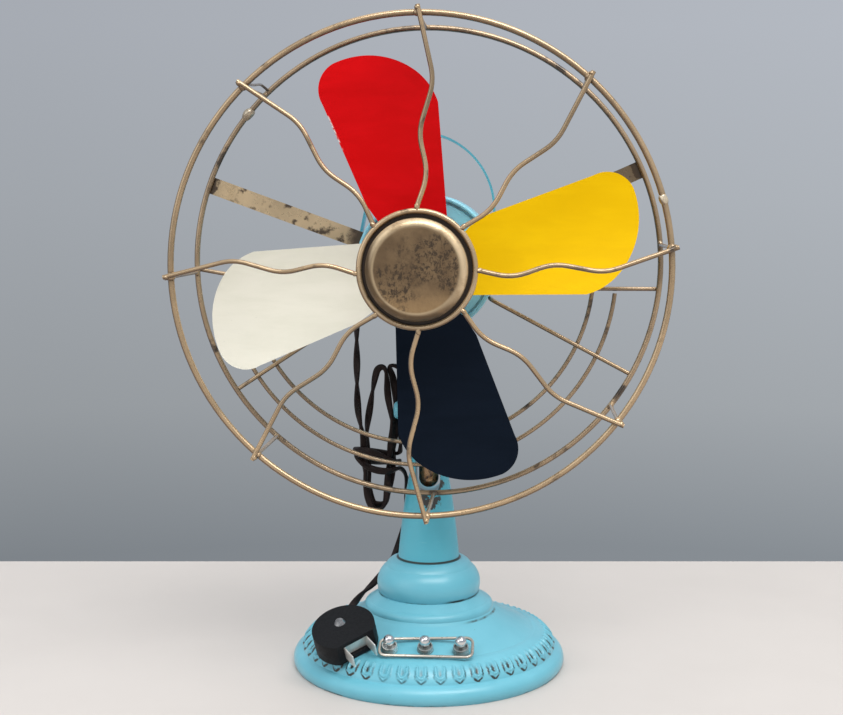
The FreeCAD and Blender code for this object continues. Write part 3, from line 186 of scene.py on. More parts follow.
def hank_points():
    """The folded turns, down one leg, round the bottom, up the next leg and over the top."""
    points = []
    for i, (depth, places) in enumerate(hank_legs):
        heights = leg_heights[-len(places):] if i == 0 else leg_heights[:len(places)]
        leg = [(x, depth, z) for x, z in zip(places, heights)]
        points += leg[::-1] if i % 2 else leg
        if i < len(hank_bends):
            points += hank_bends[i]
    return millimetres(*points)


def wrap_points():
    """The turns round the middle of the hank, behind it first."""
    points = []
    for heights in wrap_heights:
        for (x, y), z in zip(wrap_places, heights):
            points.append((x, y, z))
    return millimetres(*points)


def smooth_route(name, points):
    """Points along a NURBS spline that has these control points."""
    data = bpy.data.curves.new(name, "CURVE")
    data.dimensions = "3D"
    data.resolution_u = 24
    spline = data.splines.new("NURBS")
    spline.points.add(len(points) - 1)
    for control, point in zip(spline.points, points):
        control.co = (*point, 1)
    spline.order_u = 3
    spline.use_endpoint_u = True
    curve = link(bpy.data.objects.new(name, data))
    bpy.context.view_layer.update()
    line = bpy.data.meshes.new_from_object(curve)
    route = [v.co.copy() for v in line.vertices]
    bpy.data.meshes.remove(line)
    bpy.data.objects.remove(curve)
    bpy.data.curves.remove(data)
    return route


def even_steps(route, step):
    """The same line with points at even distances."""
    kept = [route[0]]
    here, left = route[0], step
    for ahead in route[1:]:
        run = (ahead - here).length
        while run >= left and run > 0:
            here = here.lerp(ahead, left / run)
            kept.append(here)
            run, left = (ahead - here).length, step
        left -= run
        here = ahead
    kept.append(route[-1])
    return kept


def flex(name, route, twist_start):
    """Two cores side by side under one cover, twisted along a route. Gives the twist at its end."""
    outline = []
    for k in range(ring_points):
        a = math.tau * k / ring_points
        side = 1 if math.cos(a) >= 0 else -1
        x = side * strand_offset + strand_radius * math.cos(a)
        waist = cover_waist + (1 - cover_waist) * min(1.0, abs(x) / strand_offset)
        outline.append((x, strand_radius * math.sin(a) * waist))
    bm = bmesh.new()
    across = heading(route, 0).orthogonal().normalized()
    twist, rings = twist_start, []
    for i, point in enumerate(route):
        ahead = heading(route, i)
        across = (across - ahead * across.dot(ahead)).normalized()
        over = ahead.cross(across)
        if i:
            uneven = 1 + twist_change * noise.noise(point * twist_patches)
            twist += math.tau * (point - route[i - 1]).length / twist_length * uneven
        c, s = math.cos(twist), math.sin(twist)
        first, second = across * c + over * s, over * c - across * s
        rings.append([bm.verts.new(point + first * x + second * y) for x, y in outline])
    skin(bm, rings)
    return mesh_object(name, bm), twist


def make_cords():
    """The cord in two pieces that meet at the tilt axis, one on the head and one on the stand."""
    whole = smooth_route("cord_route", upper_points + to_hank + hank_points() + wrap_points() + lower_points)
    whole = even_steps(whole, cord_step)
    bend = min(range(bend_search), key=lambda i: abs(whole[i].z - upper_points[-1].z))
    upper, lower = whole[:bend + 1], whole[bend:]
    upper_piece, twist = flex("cord_from_head", upper, first_twist)
    lower_piece, _ = flex("cord_hank_and_lead", lower, twist)
    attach(upper_piece, "head")
    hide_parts("cord_upper")
    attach(lower_piece, "stand")
    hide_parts("cord_hank", "cord_wrap", "cord_lower")
    return upper_piece, lower_piece


cord_pieces = make_cords()


# ---- stamped border of the foot: a row of tongues, each over the tip of a zigzag ----
dome_outer = Vector((0.0712, 0.0098))      # the dome's outer arc, as radius and height
dome_middle = Vector((0.0667, 0.01655))
dome_inner = Vector((0.0590, 0.0199))
tongue_count = 44
tongue_turn = math.radians(0.8)            # of the tongue nearest the front
tongue_tip_radius = 0.0704
tongue_half_width = 0.00215
tongue_bend = 0.0033                       # its round end starts this far in from its tip
tongue_length = 0.0080
tongue_ridge = 0.00078                     # half width of its raised outline
tongue_height = 0.00110
point_tip = -0.0007                        # the pointed rim under each tongue
point_half_width = 0.0024
point_slope = math.atan(0.72)
point_ridge = 0.0004
point_height = 0.00060
soft_edge = 0.0003                         # over which a ridge or a patch of paint runs out
# painted shadow under each point, and dark paint beside each tongue and in its hollow: how far off it
# lies, its half width and share, and where it runs from and to, inward from the tongue's tip
shadow_off = 0.00070
shadow_width = 0.00042
beside_off = 0.0011
beside_width = 0.0004
beside_share = 0.65
beside_from, beside_to, beside_fade = 0.0012, 0.0055, 0.0006
hollow_width = 0.0008
hollow_share = 0.8
hollow_from, hollow_to, hollow_fade = 0.0024, 0.0054, 0.0008
border_columns = 1584
border_rows = 64
border_skin = 0.0004                       # how far its lower side lies under the dome
border_lift = 0.00004                      # over the dome
border_hem = 0.06                          # share of its width over which an edge runs into the dome
hem_depth = 0.00012
wobble = 0.0004                            # how far hand work moves the pattern aside
wobble_round = 7
wobble_inward = 20


def circle_through(a, b, c):
    """Centre and radius of the circle through three points of a plane."""
    rows = Matrix(((b.x - a.x, b.y - a.y), (c.x - a.x, c.y - a.y)))
    sums = Vector(((b.length_squared - a.length_squared) / 2, (c.length_squared - a.length_squared) / 2))
    centre = rows.inverted() @ sums
    return centre, (a - centre).length


def ridge(distance, width):
    """1 on a line and less beside it."""
    return math.exp(-(distance / width) ** 2)


def fall(value, limit, softness=soft_edge):
    """1 below a limit and 0 above it."""
    return 1 / (1 + math.exp((value - limit) / softness))


def rise(value, limit):
    """0 below a limit and 1 above it."""
    return fall(-value, -limit)


def border_relief(across, inward):
    """Height of the stamped pattern, and how dark it is: dark paint in its hollows, and a painted shadow
    under each pointed rim.
    """
    side = abs(across)
    if inward > tongue_bend:
        from_tongue = abs(side - tongue_half_width)
    else:
        from_tongue = abs(math.hypot(across, inward - tongue_bend) - tongue_half_width)
    height = tongue_height * ridge(from_tongue, tongue_ridge) * fall(inward, tongue_length)
    off = (inward - point_tip) * math.cos(point_slope) - side * math.sin(point_slope)
    reach = fall(side, point_half_width)
    height += point_height * ridge(off, point_ridge) * reach
    # painted shadow just outside each pointed rim, on its lower side
    under = ridge(off + shadow_off, shadow_width) * reach
    beside = ridge(side - tongue_half_width - beside_off, beside_width)
    beside *= rise(inward, beside_from) * fall(inward, beside_to, beside_fade)
    hollow = hollow_share * ridge(across, hollow_width)
    hollow *= rise(inward, hollow_from) * fall(inward, hollow_to, hollow_fade)
    return height, max(under, beside_share * beside, hollow)


def make_border():
    centre, radius = circle_through(dome_outer, dome_middle, dome_inner)
    start = math.atan2(dome_inner.x - centre.x, dome_inner.y - centre.y)
    end = math.atan2(dome_outer.x - centre.x, dome_outer.y - centre.y)
    tongue_tip = math.asin((tongue_tip_radius - centre.x) / radius)
    bm = bmesh.new()
    hollow_paint_and_shadow = bm.verts.layers.float.new("hollow_paint_and_shadow")
    grid = []
    for i in range(border_columns):
        turn = math.tau * i / border_columns
        cell = (turn - tongue_turn) / (math.tau / tongue_count)
        cell -= round(cell)
        outward = Vector((math.sin(turn), -math.cos(turn)))
        column = []
        for j in range(border_rows + 1):
            share = j / border_rows
            lean = start + (end - start) * share
            spot = centre + radius * Vector((math.sin(lean), math.cos(lean)))
            pitch = math.tau * spot.x / tongue_count
            where = (wobble_round * math.sin(turn), wobble_round * math.cos(turn), wobble_inward * share)
            across = cell * pitch + wobble * noise.noise(where)
            height, dark = border_relief(across, (tongue_tip - lean) * radius)
            edge = min(share, 1 - share) / border_hem
            height = height * min(1.0, edge) + border_lift - hem_depth * max(0.0, 1 - edge)
            spot = spot + height * Vector((math.sin(lean), math.cos(lean)))
            vertex = bm.verts.new((outward.x * spot.x, outward.y * spot.x, spot.y))
            vertex[hollow_paint_and_shadow] = dark
            column.append(vertex)
        for lean in (end, start):
            spot = centre + (radius - border_skin) * Vector((math.sin(lean), math.cos(lean)))
            column.append(bm.verts.new((outward.x * spot.x, outward.y * spot.x, spot.y)))
        grid.append(column)
    for i, near in enumerate(grid):
        far = grid[(i + 1) % border_columns]
        for j in range(len(near)):
            n = (j + 1) % len(near)
            bm.faces.new((near[j], near[n], far[n], far[j]))
    border = mesh_object("foot_border", bm)
    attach(border, "stand")
    return border


# ---- beads of brass where wires meet ----
bead_seed = 4
bead_swell = 0.20
bead_lengths = (0.88, 1.12)                # shares of the usual length, least and most
spoke_plane = front_ring_plane - front_ring_wire - spoke_wire
# the beads at each spoke, the last one at its foot: distance from the hub axis, depth, whether it is
# longest along the spoke or round the ring, half length, half thickness
spoke_beads = (
    (ring_radius, front_ring_plane - 0.0009, "spoke", 0.0024, 0.0021),
    (ring_radius + 0.0018, spoke_plane, "spoke", 0.0014, 0.00145),
    (ring_radius, front_ring_plane + 0.0016, "ring", 0.0019, 0.0014),
    (ring_radius, rear_ring_plane - 0.0014, "ring", 0.0021, 0.0014),
    (hub_ring_radius + 0.0018, hub_ring_plane - 0.0003, "spoke", 0.0019, 0.0013),
)
# the two large drops: degrees round the ring, depth, longest along, half length, half thickness, seed
large_drops = (
    (140, rear_ring_plane, Vector((0.7, 0, 0.7)), 0.0040, 0.0027, 3),
    (16, front_ring_plane, Vector((-0.3, 0, 0.95)), 0.0034, 0.0022, 7),
)


def add_bead(bm, place, along, length, thickness, seed):
    """Uneven drop of metal, longest along a direction."""
    turn = along.normalized().to_track_quat("Z", "Y").to_matrix().to_4x4()
    stretch = Matrix.Diagonal((thickness, thickness, length, 1))
    made = bmesh.ops.create_icosphere(bm, subdivisions=3, radius=1, matrix=Matrix.Identity(4))
    for vertex in made["verts"]:
        swell = 1 + bead_swell * noise.noise(vertex.co * 1.3 + Vector((seed, 2.7 * seed, 0)))
        vertex.co = vertex.co * swell
    bmesh.ops.transform(bm, matrix=Matrix.Translation(place) @ turn @ stretch, verts=made["verts"])


def make_beads():
    random.seed(bead_seed)
    bm = bmesh.new()
    for angle, aside in spoke_set.items():
        outward = polar(1, angle, 0) - polar(0, angle, 0)
        round_ring = Vector((-outward.z, 0, outward.x))
        for distance, depth, longest, length, thickness in spoke_beads:
            place = polar(distance, angle, depth)
            if distance < ring_radius:
                place += round_ring * aside
            along = outward if longest == "spoke" else round_ring
            length *= random.uniform(*bead_lengths)
            add_bead(bm, place, along, length, thickness, random.uniform(0, 50))
    beads = mesh_object("weld_beads", bm)
    bm = bmesh.new()
    for angle, depth, along, length, thickness, seed in large_drops:
        add_bead(bm, polar(ring_radius, angle, depth), along, length, thickness, seed)
    blobs = mesh_object("weld_blobs", bm)
    for piece in (beads, blobs):
        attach(piece, "head")
    return beads, blobs


# ---- the dark tie wire that is bent, from the tip of the upper left spoke to the rear ring ----
bent_tie_wire = 0.00075                    # radius
tie_sides = 12
bent_tie_points = millimetres(
    (-84.6, -76.0, 315.4), (-84.8, -60.0, 316.1), (-85.7, -40.0, 318.5), (-85.9, -30.0, 319.0),
    (-83.8, -22.5, 316.4))


def make_bent_tie():
    route = smooth_route("tie_route", bent_tie_points)
    bm = bmesh.new()
    rings = []
    for i, point in enumerate(route):
        ahead = heading(route, i)
        across = ahead.cross(Vector((0, 0, 1))).normalized()
        over = ahead.cross(across)
        ring = []
        for k in range(tie_sides):
            a = math.tau * k / tie_sides
            ring.append(bm.verts.new(point + bent_tie_wire * (across * math.cos(a) + over * math.sin(a))))
        rings.append(ring)
    skin(bm, rings)
    tie = mesh_object("bent_tie", bm)
    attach(tie, "head")
    return tie


# ---- softened edges on the plug ----
sharp_angle = math.radians(32)             # an edge that turns more than this is sharp
rounding_steps = 3


def soften(name, width):
    """Rounds the sharp edges of a piece."""
    obj = nodes[name]
    weld = obj.modifiers.new("weld", "WELD")
    weld.merge_threshold = 0.000002
    bevel = obj.modifiers.new("bevel", "BEVEL")
    bevel.width = width
    bevel.segments = rounding_steps
    bevel.limit_method = "ANGLE"
    bevel.angle_limit = sharp_angle
    bevel.harden_normals = True


border_piece = make_border()
bead_piece, blob_piece = make_beads()
tie_piece = make_bent_tie()
soften("plug_body", 0.0007)
soften("plug_prongs", 0.0003)


# ---- materials ----
class Surface:
    """A material with one Principled shader, and nodes that are added by name."""

    def __init__(self, name, **constants):
        self.material = bpy.data.materials.new(name)
        self.material.use_nodes = True
        self.tree = self.material.node_tree
        self.shader = self.tree.nodes["Principled BSDF"]
        self.place = self.tree.nodes.new("ShaderNodeTexCoord").outputs["Object"]
        for socket, value in constants.items():
            self.shader.inputs[socket.replace("_", " ")].default_value = value

    def join(self, source, target):
        self.tree.links.new(source, target)

    def set(self, socket, source):
        self.join(source, self.shader.inputs[socket])

    def put(self, target, value):
        if hasattr(value, "links"):
            self.join(value, target)
        elif hasattr(target.default_value, "__len__") and len(value) == 3:
            target.default_value = (*value, 1)
        else:
            target.default_value = value

    def noise(self, scale, detail=4.0, roughness=0.55, stretch=(1, 1, 1), distortion=0.0):
        """Noise at a scale given in features per metre."""
        mapping = self.tree.nodes.new("ShaderNodeMapping")
        mapping.inputs["Scale"].default_value = stretch
        self.join(self.place, mapping.inputs["Vector"])
        node = self.tree.nodes.new("ShaderNodeTexNoise")
        node.inputs["Scale"].default_value = scale
        node.inputs["Detail"].default_value = detail
        node.inputs["Roughness"].default_value = roughness
        node.inputs["Distortion"].default_value = distortion
        self.join(mapping.outputs["Vector"], node.inputs["Vector"])
        return node.outputs["Fac"]

    def ramp(self, source, low, high, from_value=0.0, to_value=1.0):
        """Smooth step of a value from low to high."""
        node = self.tree.nodes.new("ShaderNodeMapRange")
        node.interpolation_type = "SMOOTHSTEP"
        self.put(node.inputs["Value"], source)
        node.inputs["From Min"].default_value = low
        node.inputs["From Max"].default_value = high
        node.inputs["To Min"].default_value = from_value
        node.inputs["To Max"].default_value = to_value
        return node.outputs["Result"]

    def math(self, operation, a, b=0.0):
        node = self.tree.nodes.new("ShaderNodeMath")
        node.operation = operation
        self.put(node.inputs[0], a)
        self.put(node.inputs[1], b)
        return node.outputs["Value"]

    def span(self, a, b):
        """How far off a place is that lies a to the side and b up."""
        return self.math("SQRT", self.math("ADD", self.math("MULTIPLY", a, a), self.math("MULTIPLY", b, b)))

    def mix(self, factor, a, b):
        """Colour from a to b. The node's sockets for colours are numbers 6, 7 and 2."""
        node = self.tree.nodes.new("ShaderNodeMix")
        node.data_type = "RGBA"
        self.put(node.inputs[0], factor)
        self.put(node.inputs[6], a)
        self.put(node.inputs[7], b)
        return node.outputs[2]

    def split(self):
        """The x, y and z of the place on the piece."""
        node = self.tree.nodes.new("ShaderNodeSeparateXYZ")
        self.join(self.place, node.inputs["Vector"])
        return node.outputs["X"], node.outputs["Y"], node.outputs["Z"]

    def from_hub(self):
        """Distance from the hub axis."""
        x, _, z = self.split()
        return self.span(x, self.math("SUBTRACT", z, hub.z))

    def facing(self, direction):
        """0 to 1 by how much the surface faces a direction, with the piece at rest."""
        node = self.tree.nodes.new("ShaderNodeVectorMath")
        node.operation = "DOT_PRODUCT"
        normal = self.tree.nodes.new("ShaderNodeTexCoord").outputs["Normal"]
        self.join(normal, node.inputs[0])
        node.inputs[1].default_value = Vector(direction).normalized()
        return self.ramp(node.outputs["Value"], -0.75, 0.65)

    def near_line(self, start, end, width):
        """1 along a line seen from the front, 0 further off than a width."""
        x, _, z = self.split()
        start, end = Vector(start), Vector(end)
        run = (end - start).normalized()
        x, z = self.math("SUBTRACT", x, start.x), self.math("SUBTRACT", z, start.y)
        off = self.math("ADD", self.math("MULTIPLY", x, run.y), self.math("MULTIPLY", z, -run.x))
        along = self.math("ADD", self.math("MULTIPLY", x, run.x), self.math("MULTIPLY", z, run.y))
        beside = self.ramp(self.math("ABSOLUTE", off), 0.4 * width, width, 1.0, 0.0)
        length = (end - start).length
        soft = 0.002
        begun = self.ramp(along, -soft, soft)
        ended = self.ramp(along, length - soft, length + soft, 1.0, 0.0)
        return self.math("MULTIPLY", beside, self.math("MULTIPLY", begun, ended))

    def attribute(self, name):
        node = self.tree.nodes.new("ShaderNodeAttribute")
        node.attribute_name = name
        return node.outputs["Fac"]

    def corners(self, distance):
        """Painted shade: 1 in creases and narrow angles, where little light reaches, 0 on open faces."""
        node = self.tree.nodes.new("ShaderNodeAmbientOcclusion")
        node.samples = 8
        node.inputs["Distance"].default_value = distance
        return self.ramp(node.outputs["AO"], 0.35, 0.85, 1.0, 0.0)

    def bump(self, height, strength, depth):
        node = self.tree.nodes.new("ShaderNodeBump")
        node.inputs["Strength"].default_value = strength
        node.inputs["Distance"].default_value = depth
        self.join(height, node.inputs["Height"])
        self.set("Normal", node.outputs["Normal"])


# ---- turquoise paint ----
paint_tones = ((0.130, 0.450, 0.565), (0.160, 0.500, 0.620))
streak_tone = (0.20, 0.56, 0.63)
# colour of grime, and of the painted shade in creases and under the border's points
dirt_and_shade_tone = (0.026, 0.030, 0.024)
# dark brown of the spots on the post
dark_spot_tone = (0.040, 0.020, 0.011)


def dirt_ring(s, height, half_width, least, begins, ends):
    """Broken ring where the noise is over the least value, from an x on and out to a radius."""
    x, y, z = s.split()
    off = s.math("ABSOLUTE", s.math("SUBTRACT", z, height))
    band = s.ramp(off, half_width * 0.35, half_width, 1.0, 0.0)
    broken = s.ramp(s.noise(30, 4, 0.6), least, least + 0.12)
    broken = s.math("MULTIPLY", broken, s.ramp(x, begins - 0.004, begins + 0.004))
    broken = s.math("MULTIPLY", broken, s.ramp(s.span(x, y), ends - 0.0004, ends + 0.0004, 1.0, 0.0))
    return s.math("MULTIPLY", band, broken)


def border_paint_and_shadow(s):
    """Dark paint in the hollows of the stamped border and painted shadow under its points, more of both at
    the left and right sides.
    """
    x, _, _ = s.split()
    sides = s.math("MAXIMUM", s.ramp(x, -0.036, -0.018, 3.4, 0.85), s.ramp(x, 0.016, 0.034, 0.85, 2.0))
    worn = s.math("MULTIPLY", s.ramp(s.noise(34, 3), 0.32, 0.52, 0.45, 1.0), sides)
    return s.math("MINIMUM", s.math("MULTIPLY", s.attribute("hollow_paint_and_shadow"), worn), 1.0)


def dark_spots(s, spots):
    """Spots with a ragged edge, on the front only: height, x and radius of each."""
    x, y, z = s.split()
    spotted = 0.0
    for height, place, size in spots:
        off = s.span(s.math("SUBTRACT", x, place), s.math("SUBTRACT", z, height))
        off = s.math("ADD", off, s.ramp(s.noise(300, 4, 0.6), 0.3, 0.7, -0.55 * size, 0.55 * size))
        spotted = s.math("MAXIMUM", spotted, s.ramp(off, 0.75 * size, size, 0.95, 0.0))
    return s.math("MULTIPLY", spotted, s.ramp(y, -0.002, 0.002, 1.0, 0.0))


def turquoise(name, rings=(), spots=(), border=False, tones=paint_tones, unevenness=0.22):
    """Hand painted turquoise, with painted shade and grime in its creases, grime in rings, specks, and dark
    brown spots.
    """
    s = Surface(name, Coat_Weight=0.35, Coat_Roughness=0.28, Specular_IOR_Level=0.45)
    colour = s.mix(s.ramp(s.noise(28, 3), 0.3, 0.7), *tones)
    streaks = s.noise(160, 5, 0.6, (1, 1, 4))
    colour = s.mix(s.ramp(streaks, 0.62, 0.80, 0.0, 0.35), colour, streak_tone)
    patchy = s.noise(55, 5, 0.65)
    # painted shade in creases where little light reaches, broken by noise so that it also stands for grime
    dirt_and_shade = s.math("MULTIPLY", s.corners(0.0016), s.ramp(patchy, 0.45, 0.66, 0.0, 0.8))
    for ring in rings:
        dirt_and_shade = s.math("MAXIMUM", dirt_and_shade, dirt_ring(s, *ring))
    if border:
        dirt_and_shade = s.math("MAXIMUM", dirt_and_shade, border_paint_and_shadow(s))
    specks = s.ramp(s.noise(520, 2, 0.5), 0.765, 0.80)
    dirt_and_shade = s.math("MAXIMUM", dirt_and_shade, s.math("MULTIPLY", specks, 0.6))
    colour = s.mix(dirt_and_shade, colour, dirt_and_shade_tone)
    if spots:
        colour = s.mix(dark_spots(s, spots), colour, dark_spot_tone)
    s.set("Base Color", colour)
    s.set("Roughness", s.ramp(s.noise(90, 4), 0.3, 0.7, 0.30, 0.44))
    s.bump(s.math("ADD", s.noise(240, 4), s.math("MULTIPLY", s.noise(1500, 3), 0.25)), unevenness, 0.0003)
    return s.material


# ---- gold paint ----
def antique_gold(name, light=(0.53, 0.372, 0.212), dark=(0.060, 0.042, 0.028), cover=0.60, scale=70,
                 ends=(), creases=0.9, shaded=(0.26, 0.92), darker_right=0.0):
    """Gold paint worn over a dark ground, with painted shade that makes it browner below.

    Cover: the noise over which it is worn. Ends: pairs of distances from the hub axis, at which it is
    still gold and from which it is dark. Creases: share of painted shade and grime in creases. Shaded:
    how much it faces up where it is all brown, painted shade, and where it is all gold. Darker right:
    share of dark on the right side.
    """
    s = Surface(name, Metallic=0.60, Coat_Weight=0.7, Coat_Roughness=0.12)
    patches = s.noise(scale, 4, 0.55)
    grain = s.noise(scale * 8, 3, 0.55)
    broad = s.noise(11, 2, 0.5)
    # painted light and shade: gold where the surface faces up, to the front and right, brown where it faces
    # away
    lit = s.facing((0.36, -0.24, 0.90))
    base = s.mix(s.ramp(s.noise(40, 3), 0.35, 0.65), light, tuple(0.80 * c for c in light))
    brown = (0.24 * light[0], 0.19 * light[1], 0.15 * light[2])
    base = s.mix(s.ramp(lit, shaded[0], shaded[1]), brown, base)
    base = s.mix(s.ramp(broad, 0.50, 0.66, 0.0, 0.60), base, tuple(0.32 * c for c in light))
    dirt_and_shade = s.math("ADD", s.ramp(patches, cover, cover + 0.12), s.ramp(grain, 0.68, 0.80, 0.0, 0.12))
    # painted shade in creases, at the given share
    dirt_and_shade = s.math("MAXIMUM", dirt_and_shade, s.math("MULTIPLY", s.corners(0.0020), creases))
    for clean, worn in ends:
        uneven = s.math("ADD", s.from_hub(), s.ramp(patches, 0.3, 0.7, -0.002, 0.002))
        low, high, first, last = (clean, worn, 0.0, 1.0) if worn > clean else (worn, clean, 1.0, 0.0)
        dirt_and_shade = s.math("ADD", dirt_and_shade, s.ramp(uneven, low, high, first, last))
    if darker_right:
        x, _, _ = s.split()
        dirt_and_shade = s.math("ADD", dirt_and_shade, s.ramp(x, 0.0, 0.01, 0.0, darker_right))
    dirt_and_shade = s.math("MINIMUM", dirt_and_shade, 1.0)
    s.set("Base Color", s.mix(dirt_and_shade, base, dark))
    s.set("Roughness", s.ramp(patches, 0.3, 0.7, 0.24, 0.36))
    s.bump(patches, 0.04, 0.0003)
    return s.material


badge_face, badge_shoulder = 0.0202, 0.0216      # radii where its face ends and its shoulder begins
badge_rim = 0.0252
# where its specks are dense: how far aside and above its middle, and their reach
badge_patches = ((0.0115, 0.0040, 0.0175), (-0.0120, -0.0060, 0.0120))


def badge_gold():
    """The middle cap: a shoulder with a painted highlight and painted shade round a golden brown face with
    dense dark specks and a painted reflection, golden towards its bottom.
    """
    s = Surface("badge_gold", Metallic=0.65, Coat_Weight=0.35, Coat_Roughness=0.2)
    out = s.from_hub()
    face = s.ramp(out, badge_face, badge_shoulder, 1.0, 0.0)
    blots = s.noise(620, 5, 0.7, (1.0, 1.0, 0.8), 0.3)
    x, _, z = s.split()
    up = s.math("SUBTRACT", z, hub.z)
    where = s.noise(75, 3, 0.5)
    for middle_x, middle_up, reach in badge_patches:
        off = s.span(s.math("SUBTRACT", x, middle_x), s.math("SUBTRACT", up, middle_up))
        where = s.math("ADD", where, s.ramp(off, 0.3 * reach, reach, 0.22, 0.0))
    dense = s.math("MULTIPLY", s.ramp(blots, 0.42, 0.62), s.ramp(where, 0.42, 0.62, 0.10, 0.96))
    dense = s.math("MULTIPLY", dense, face)
    # painted highlight and shade: the shoulder is pale where it faces up and right, dark brown where it
    # faces away
    lit = s.ramp(s.facing((0.55, 0.0, 0.83)), 0.25, 0.85)
    shoulder = s.mix(lit, (0.100, 0.060, 0.026), (0.76, 0.58, 0.36))
    shoulder = s.mix(s.ramp(s.noise(120, 4), 0.50, 0.68, 0.0, 0.55), shoulder, (0.26, 0.165, 0.08))
    tone = s.mix(s.ramp(s.noise(90, 3), 0.35, 0.65), (0.225, 0.146, 0.074), (0.155, 0.097, 0.048))
    # painted reflection of the table: the face turns golden towards its bottom
    tone = s.mix(s.ramp(up, -0.021, -0.006, 0.80, 0.0), tone, (0.40, 0.255, 0.120))
    ground = s.mix(face, shoulder, tone)
    colour = s.mix(dense, ground, (0.046, 0.030, 0.018))
    rim = s.ramp(out, badge_rim, badge_rim + 0.0004)
    # painted shade in the groove and creases where little light reaches, with the dark paint of the rim
    dark_groove_and_shade = s.math("MAXIMUM", s.math("MULTIPLY", s.corners(0.003), 0.95), rim)
    s.set("Base Color", s.mix(dark_groove_and_shade, colour, (0.034, 0.021, 0.013)))
    s.set("Roughness", s.ramp(blots, 0.3, 0.7, 0.33, 0.50))
    s.bump(s.math("ADD", blots, s.noise(900, 3)), 0.25, 0.0003)
    return s.material


# ---- the other finishes ----
chip_tone = (0.66, 0.58, 0.56)
chip_width = 0.0009


def blade_paint(name, colour, other, chips=()):
    """Paint with brush marks and a little wear. Chips: start and end of a line where it is chipped."""
    s = Surface(name, Specular_IOR_Level=0.06)
    brushed = s.noise(70, 5, 0.6, (0.35, 1, 1.6), 0.3)
    base = s.mix(s.ramp(brushed, 0.35, 0.68), colour, other)
    specks = s.ramp(s.noise(900, 2), 0.74, 0.79, 0.0, 0.4)
    base = s.mix(specks, base, tuple(0.6 * c + 0.03 for c in colour))
    if chips:
        patches = s.ramp(s.noise(300, 4, 0.7), 0.50, 0.56)
        base = s.mix(s.math("MULTIPLY", patches, s.near_line(*chips, chip_width)), base, chip_tone)
    s.set("Base Color", base)
    s.set("Roughness", s.ramp(brushed, 0.3, 0.7, 0.46, 0.58))
    s.bump(s.math("ADD", brushed, s.math("MULTIPLY", s.noise(1200, 3), 0.3)), 0.03, 0.0003)
    return s.material


def plain_metal(name, colour, other, roughness, scale=220, stretch=(1, 1, 1), metallic=1.0):
    """Bare metal with fine marks."""
    s = Surface(name, Metallic=metallic)
    marks = s.noise(scale, 5, 0.6, stretch)
    s.set("Base Color", s.mix(s.ramp(marks, 0.35, 0.68), colour, other))
    s.set("Roughness", s.ramp(s.noise(scale * 2, 4), 0.3, 0.7, roughness, roughness + 0.12))
    s.bump(marks, 0.15, 0.0002)
    return s.material


def dull(name, colour, other, roughness, scale=900, depth=0.00015, gloss=0.4):
    """Moulded plastic or rubber with a fine grain."""
    s = Surface(name, Specular_IOR_Level=gloss)
    grain = s.noise(scale, 4, 0.6)
    s.set("Base Color", s.mix(s.ramp(grain, 0.4, 0.75), colour, other))
    s.set("Roughness", s.ramp(s.noise(scale * 0.4, 3), 0.3, 0.7, roughness, roughness + 0.15))
    s.bump(grain, 0.35, depth)
    return s.material


def cord_cover():
    """Dark brown ribbed cover of the flex."""
    s = Surface("cord_cover", Specular_IOR_Level=0.18)
    grain = s.noise(1400, 4, 0.6, (1, 1, 0.5))
    tone = s.mix(s.ramp(s.noise(130, 3), 0.35, 0.65), (0.0105, 0.0060, 0.0055), (0.019, 0.0105, 0.0095))
    s.set("Base Color", s.mix(s.ramp(grain, 0.58, 0.75), tone, (0.028, 0.0165, 0.015)))
    s.set("Roughness", s.ramp(grain, 0.3, 0.7, 0.45, 0.60))
    s.bump(grain, 0.25, 0.00015)
    return s.material


def winding():
    """Enamelled copper turns."""
    s = Surface("winding", Metallic=0.9)
    wave = s.tree.nodes.new("ShaderNodeTexWave")
    wave.inputs["Scale"].default_value = 900
    wave.bands_direction = "Y"
    s.join(s.place, wave.inputs["Vector"])
    s.set("Base Color", s.mix(wave.outputs["Fac"], (0.30, 0.10, 0.04), (0.62, 0.26, 0.11)))
    s.set("Roughness", s.ramp(s.noise(300), 0.3, 0.7, 0.28, 0.40))
    s.bump(wave.outputs["Fac"], 0.6, 0.0003)
    return s.material


gold = antique_gold("antique_gold")
rear_gold = antique_gold("rear_gold", (0.46, 0.325, 0.195), cover=0.57, shaded=(0.20, 0.96))
# paler gold that stands in for the highlight on the two large drops: a painted highlight
blob_gold_painted_highlight = antique_gold("blob_gold_painted_highlight", (0.86, 0.72, 0.52), cover=0.74, shaded=(0.30, 0.80))
tie_gold = antique_gold("tie_wire", (0.15, 0.105, 0.070), (0.030, 0.022, 0.016), 0.55, 150)
# a lighter copy of the turquoise: painted light on the housing, whose face the blades shade
housing_lit_paint = turquoise("turquoise_housing_lit", tones=((0.24, 0.64, 0.79), (0.29, 0.69, 0.85)))
steel = plain_metal("steel", (0.42, 0.42, 0.42), (0.58, 0.57, 0.55), 0.30)
chrome = plain_metal("chrome", (0.70, 0.70, 0.71), (0.76, 0.76, 0.76), 0.13, 500)
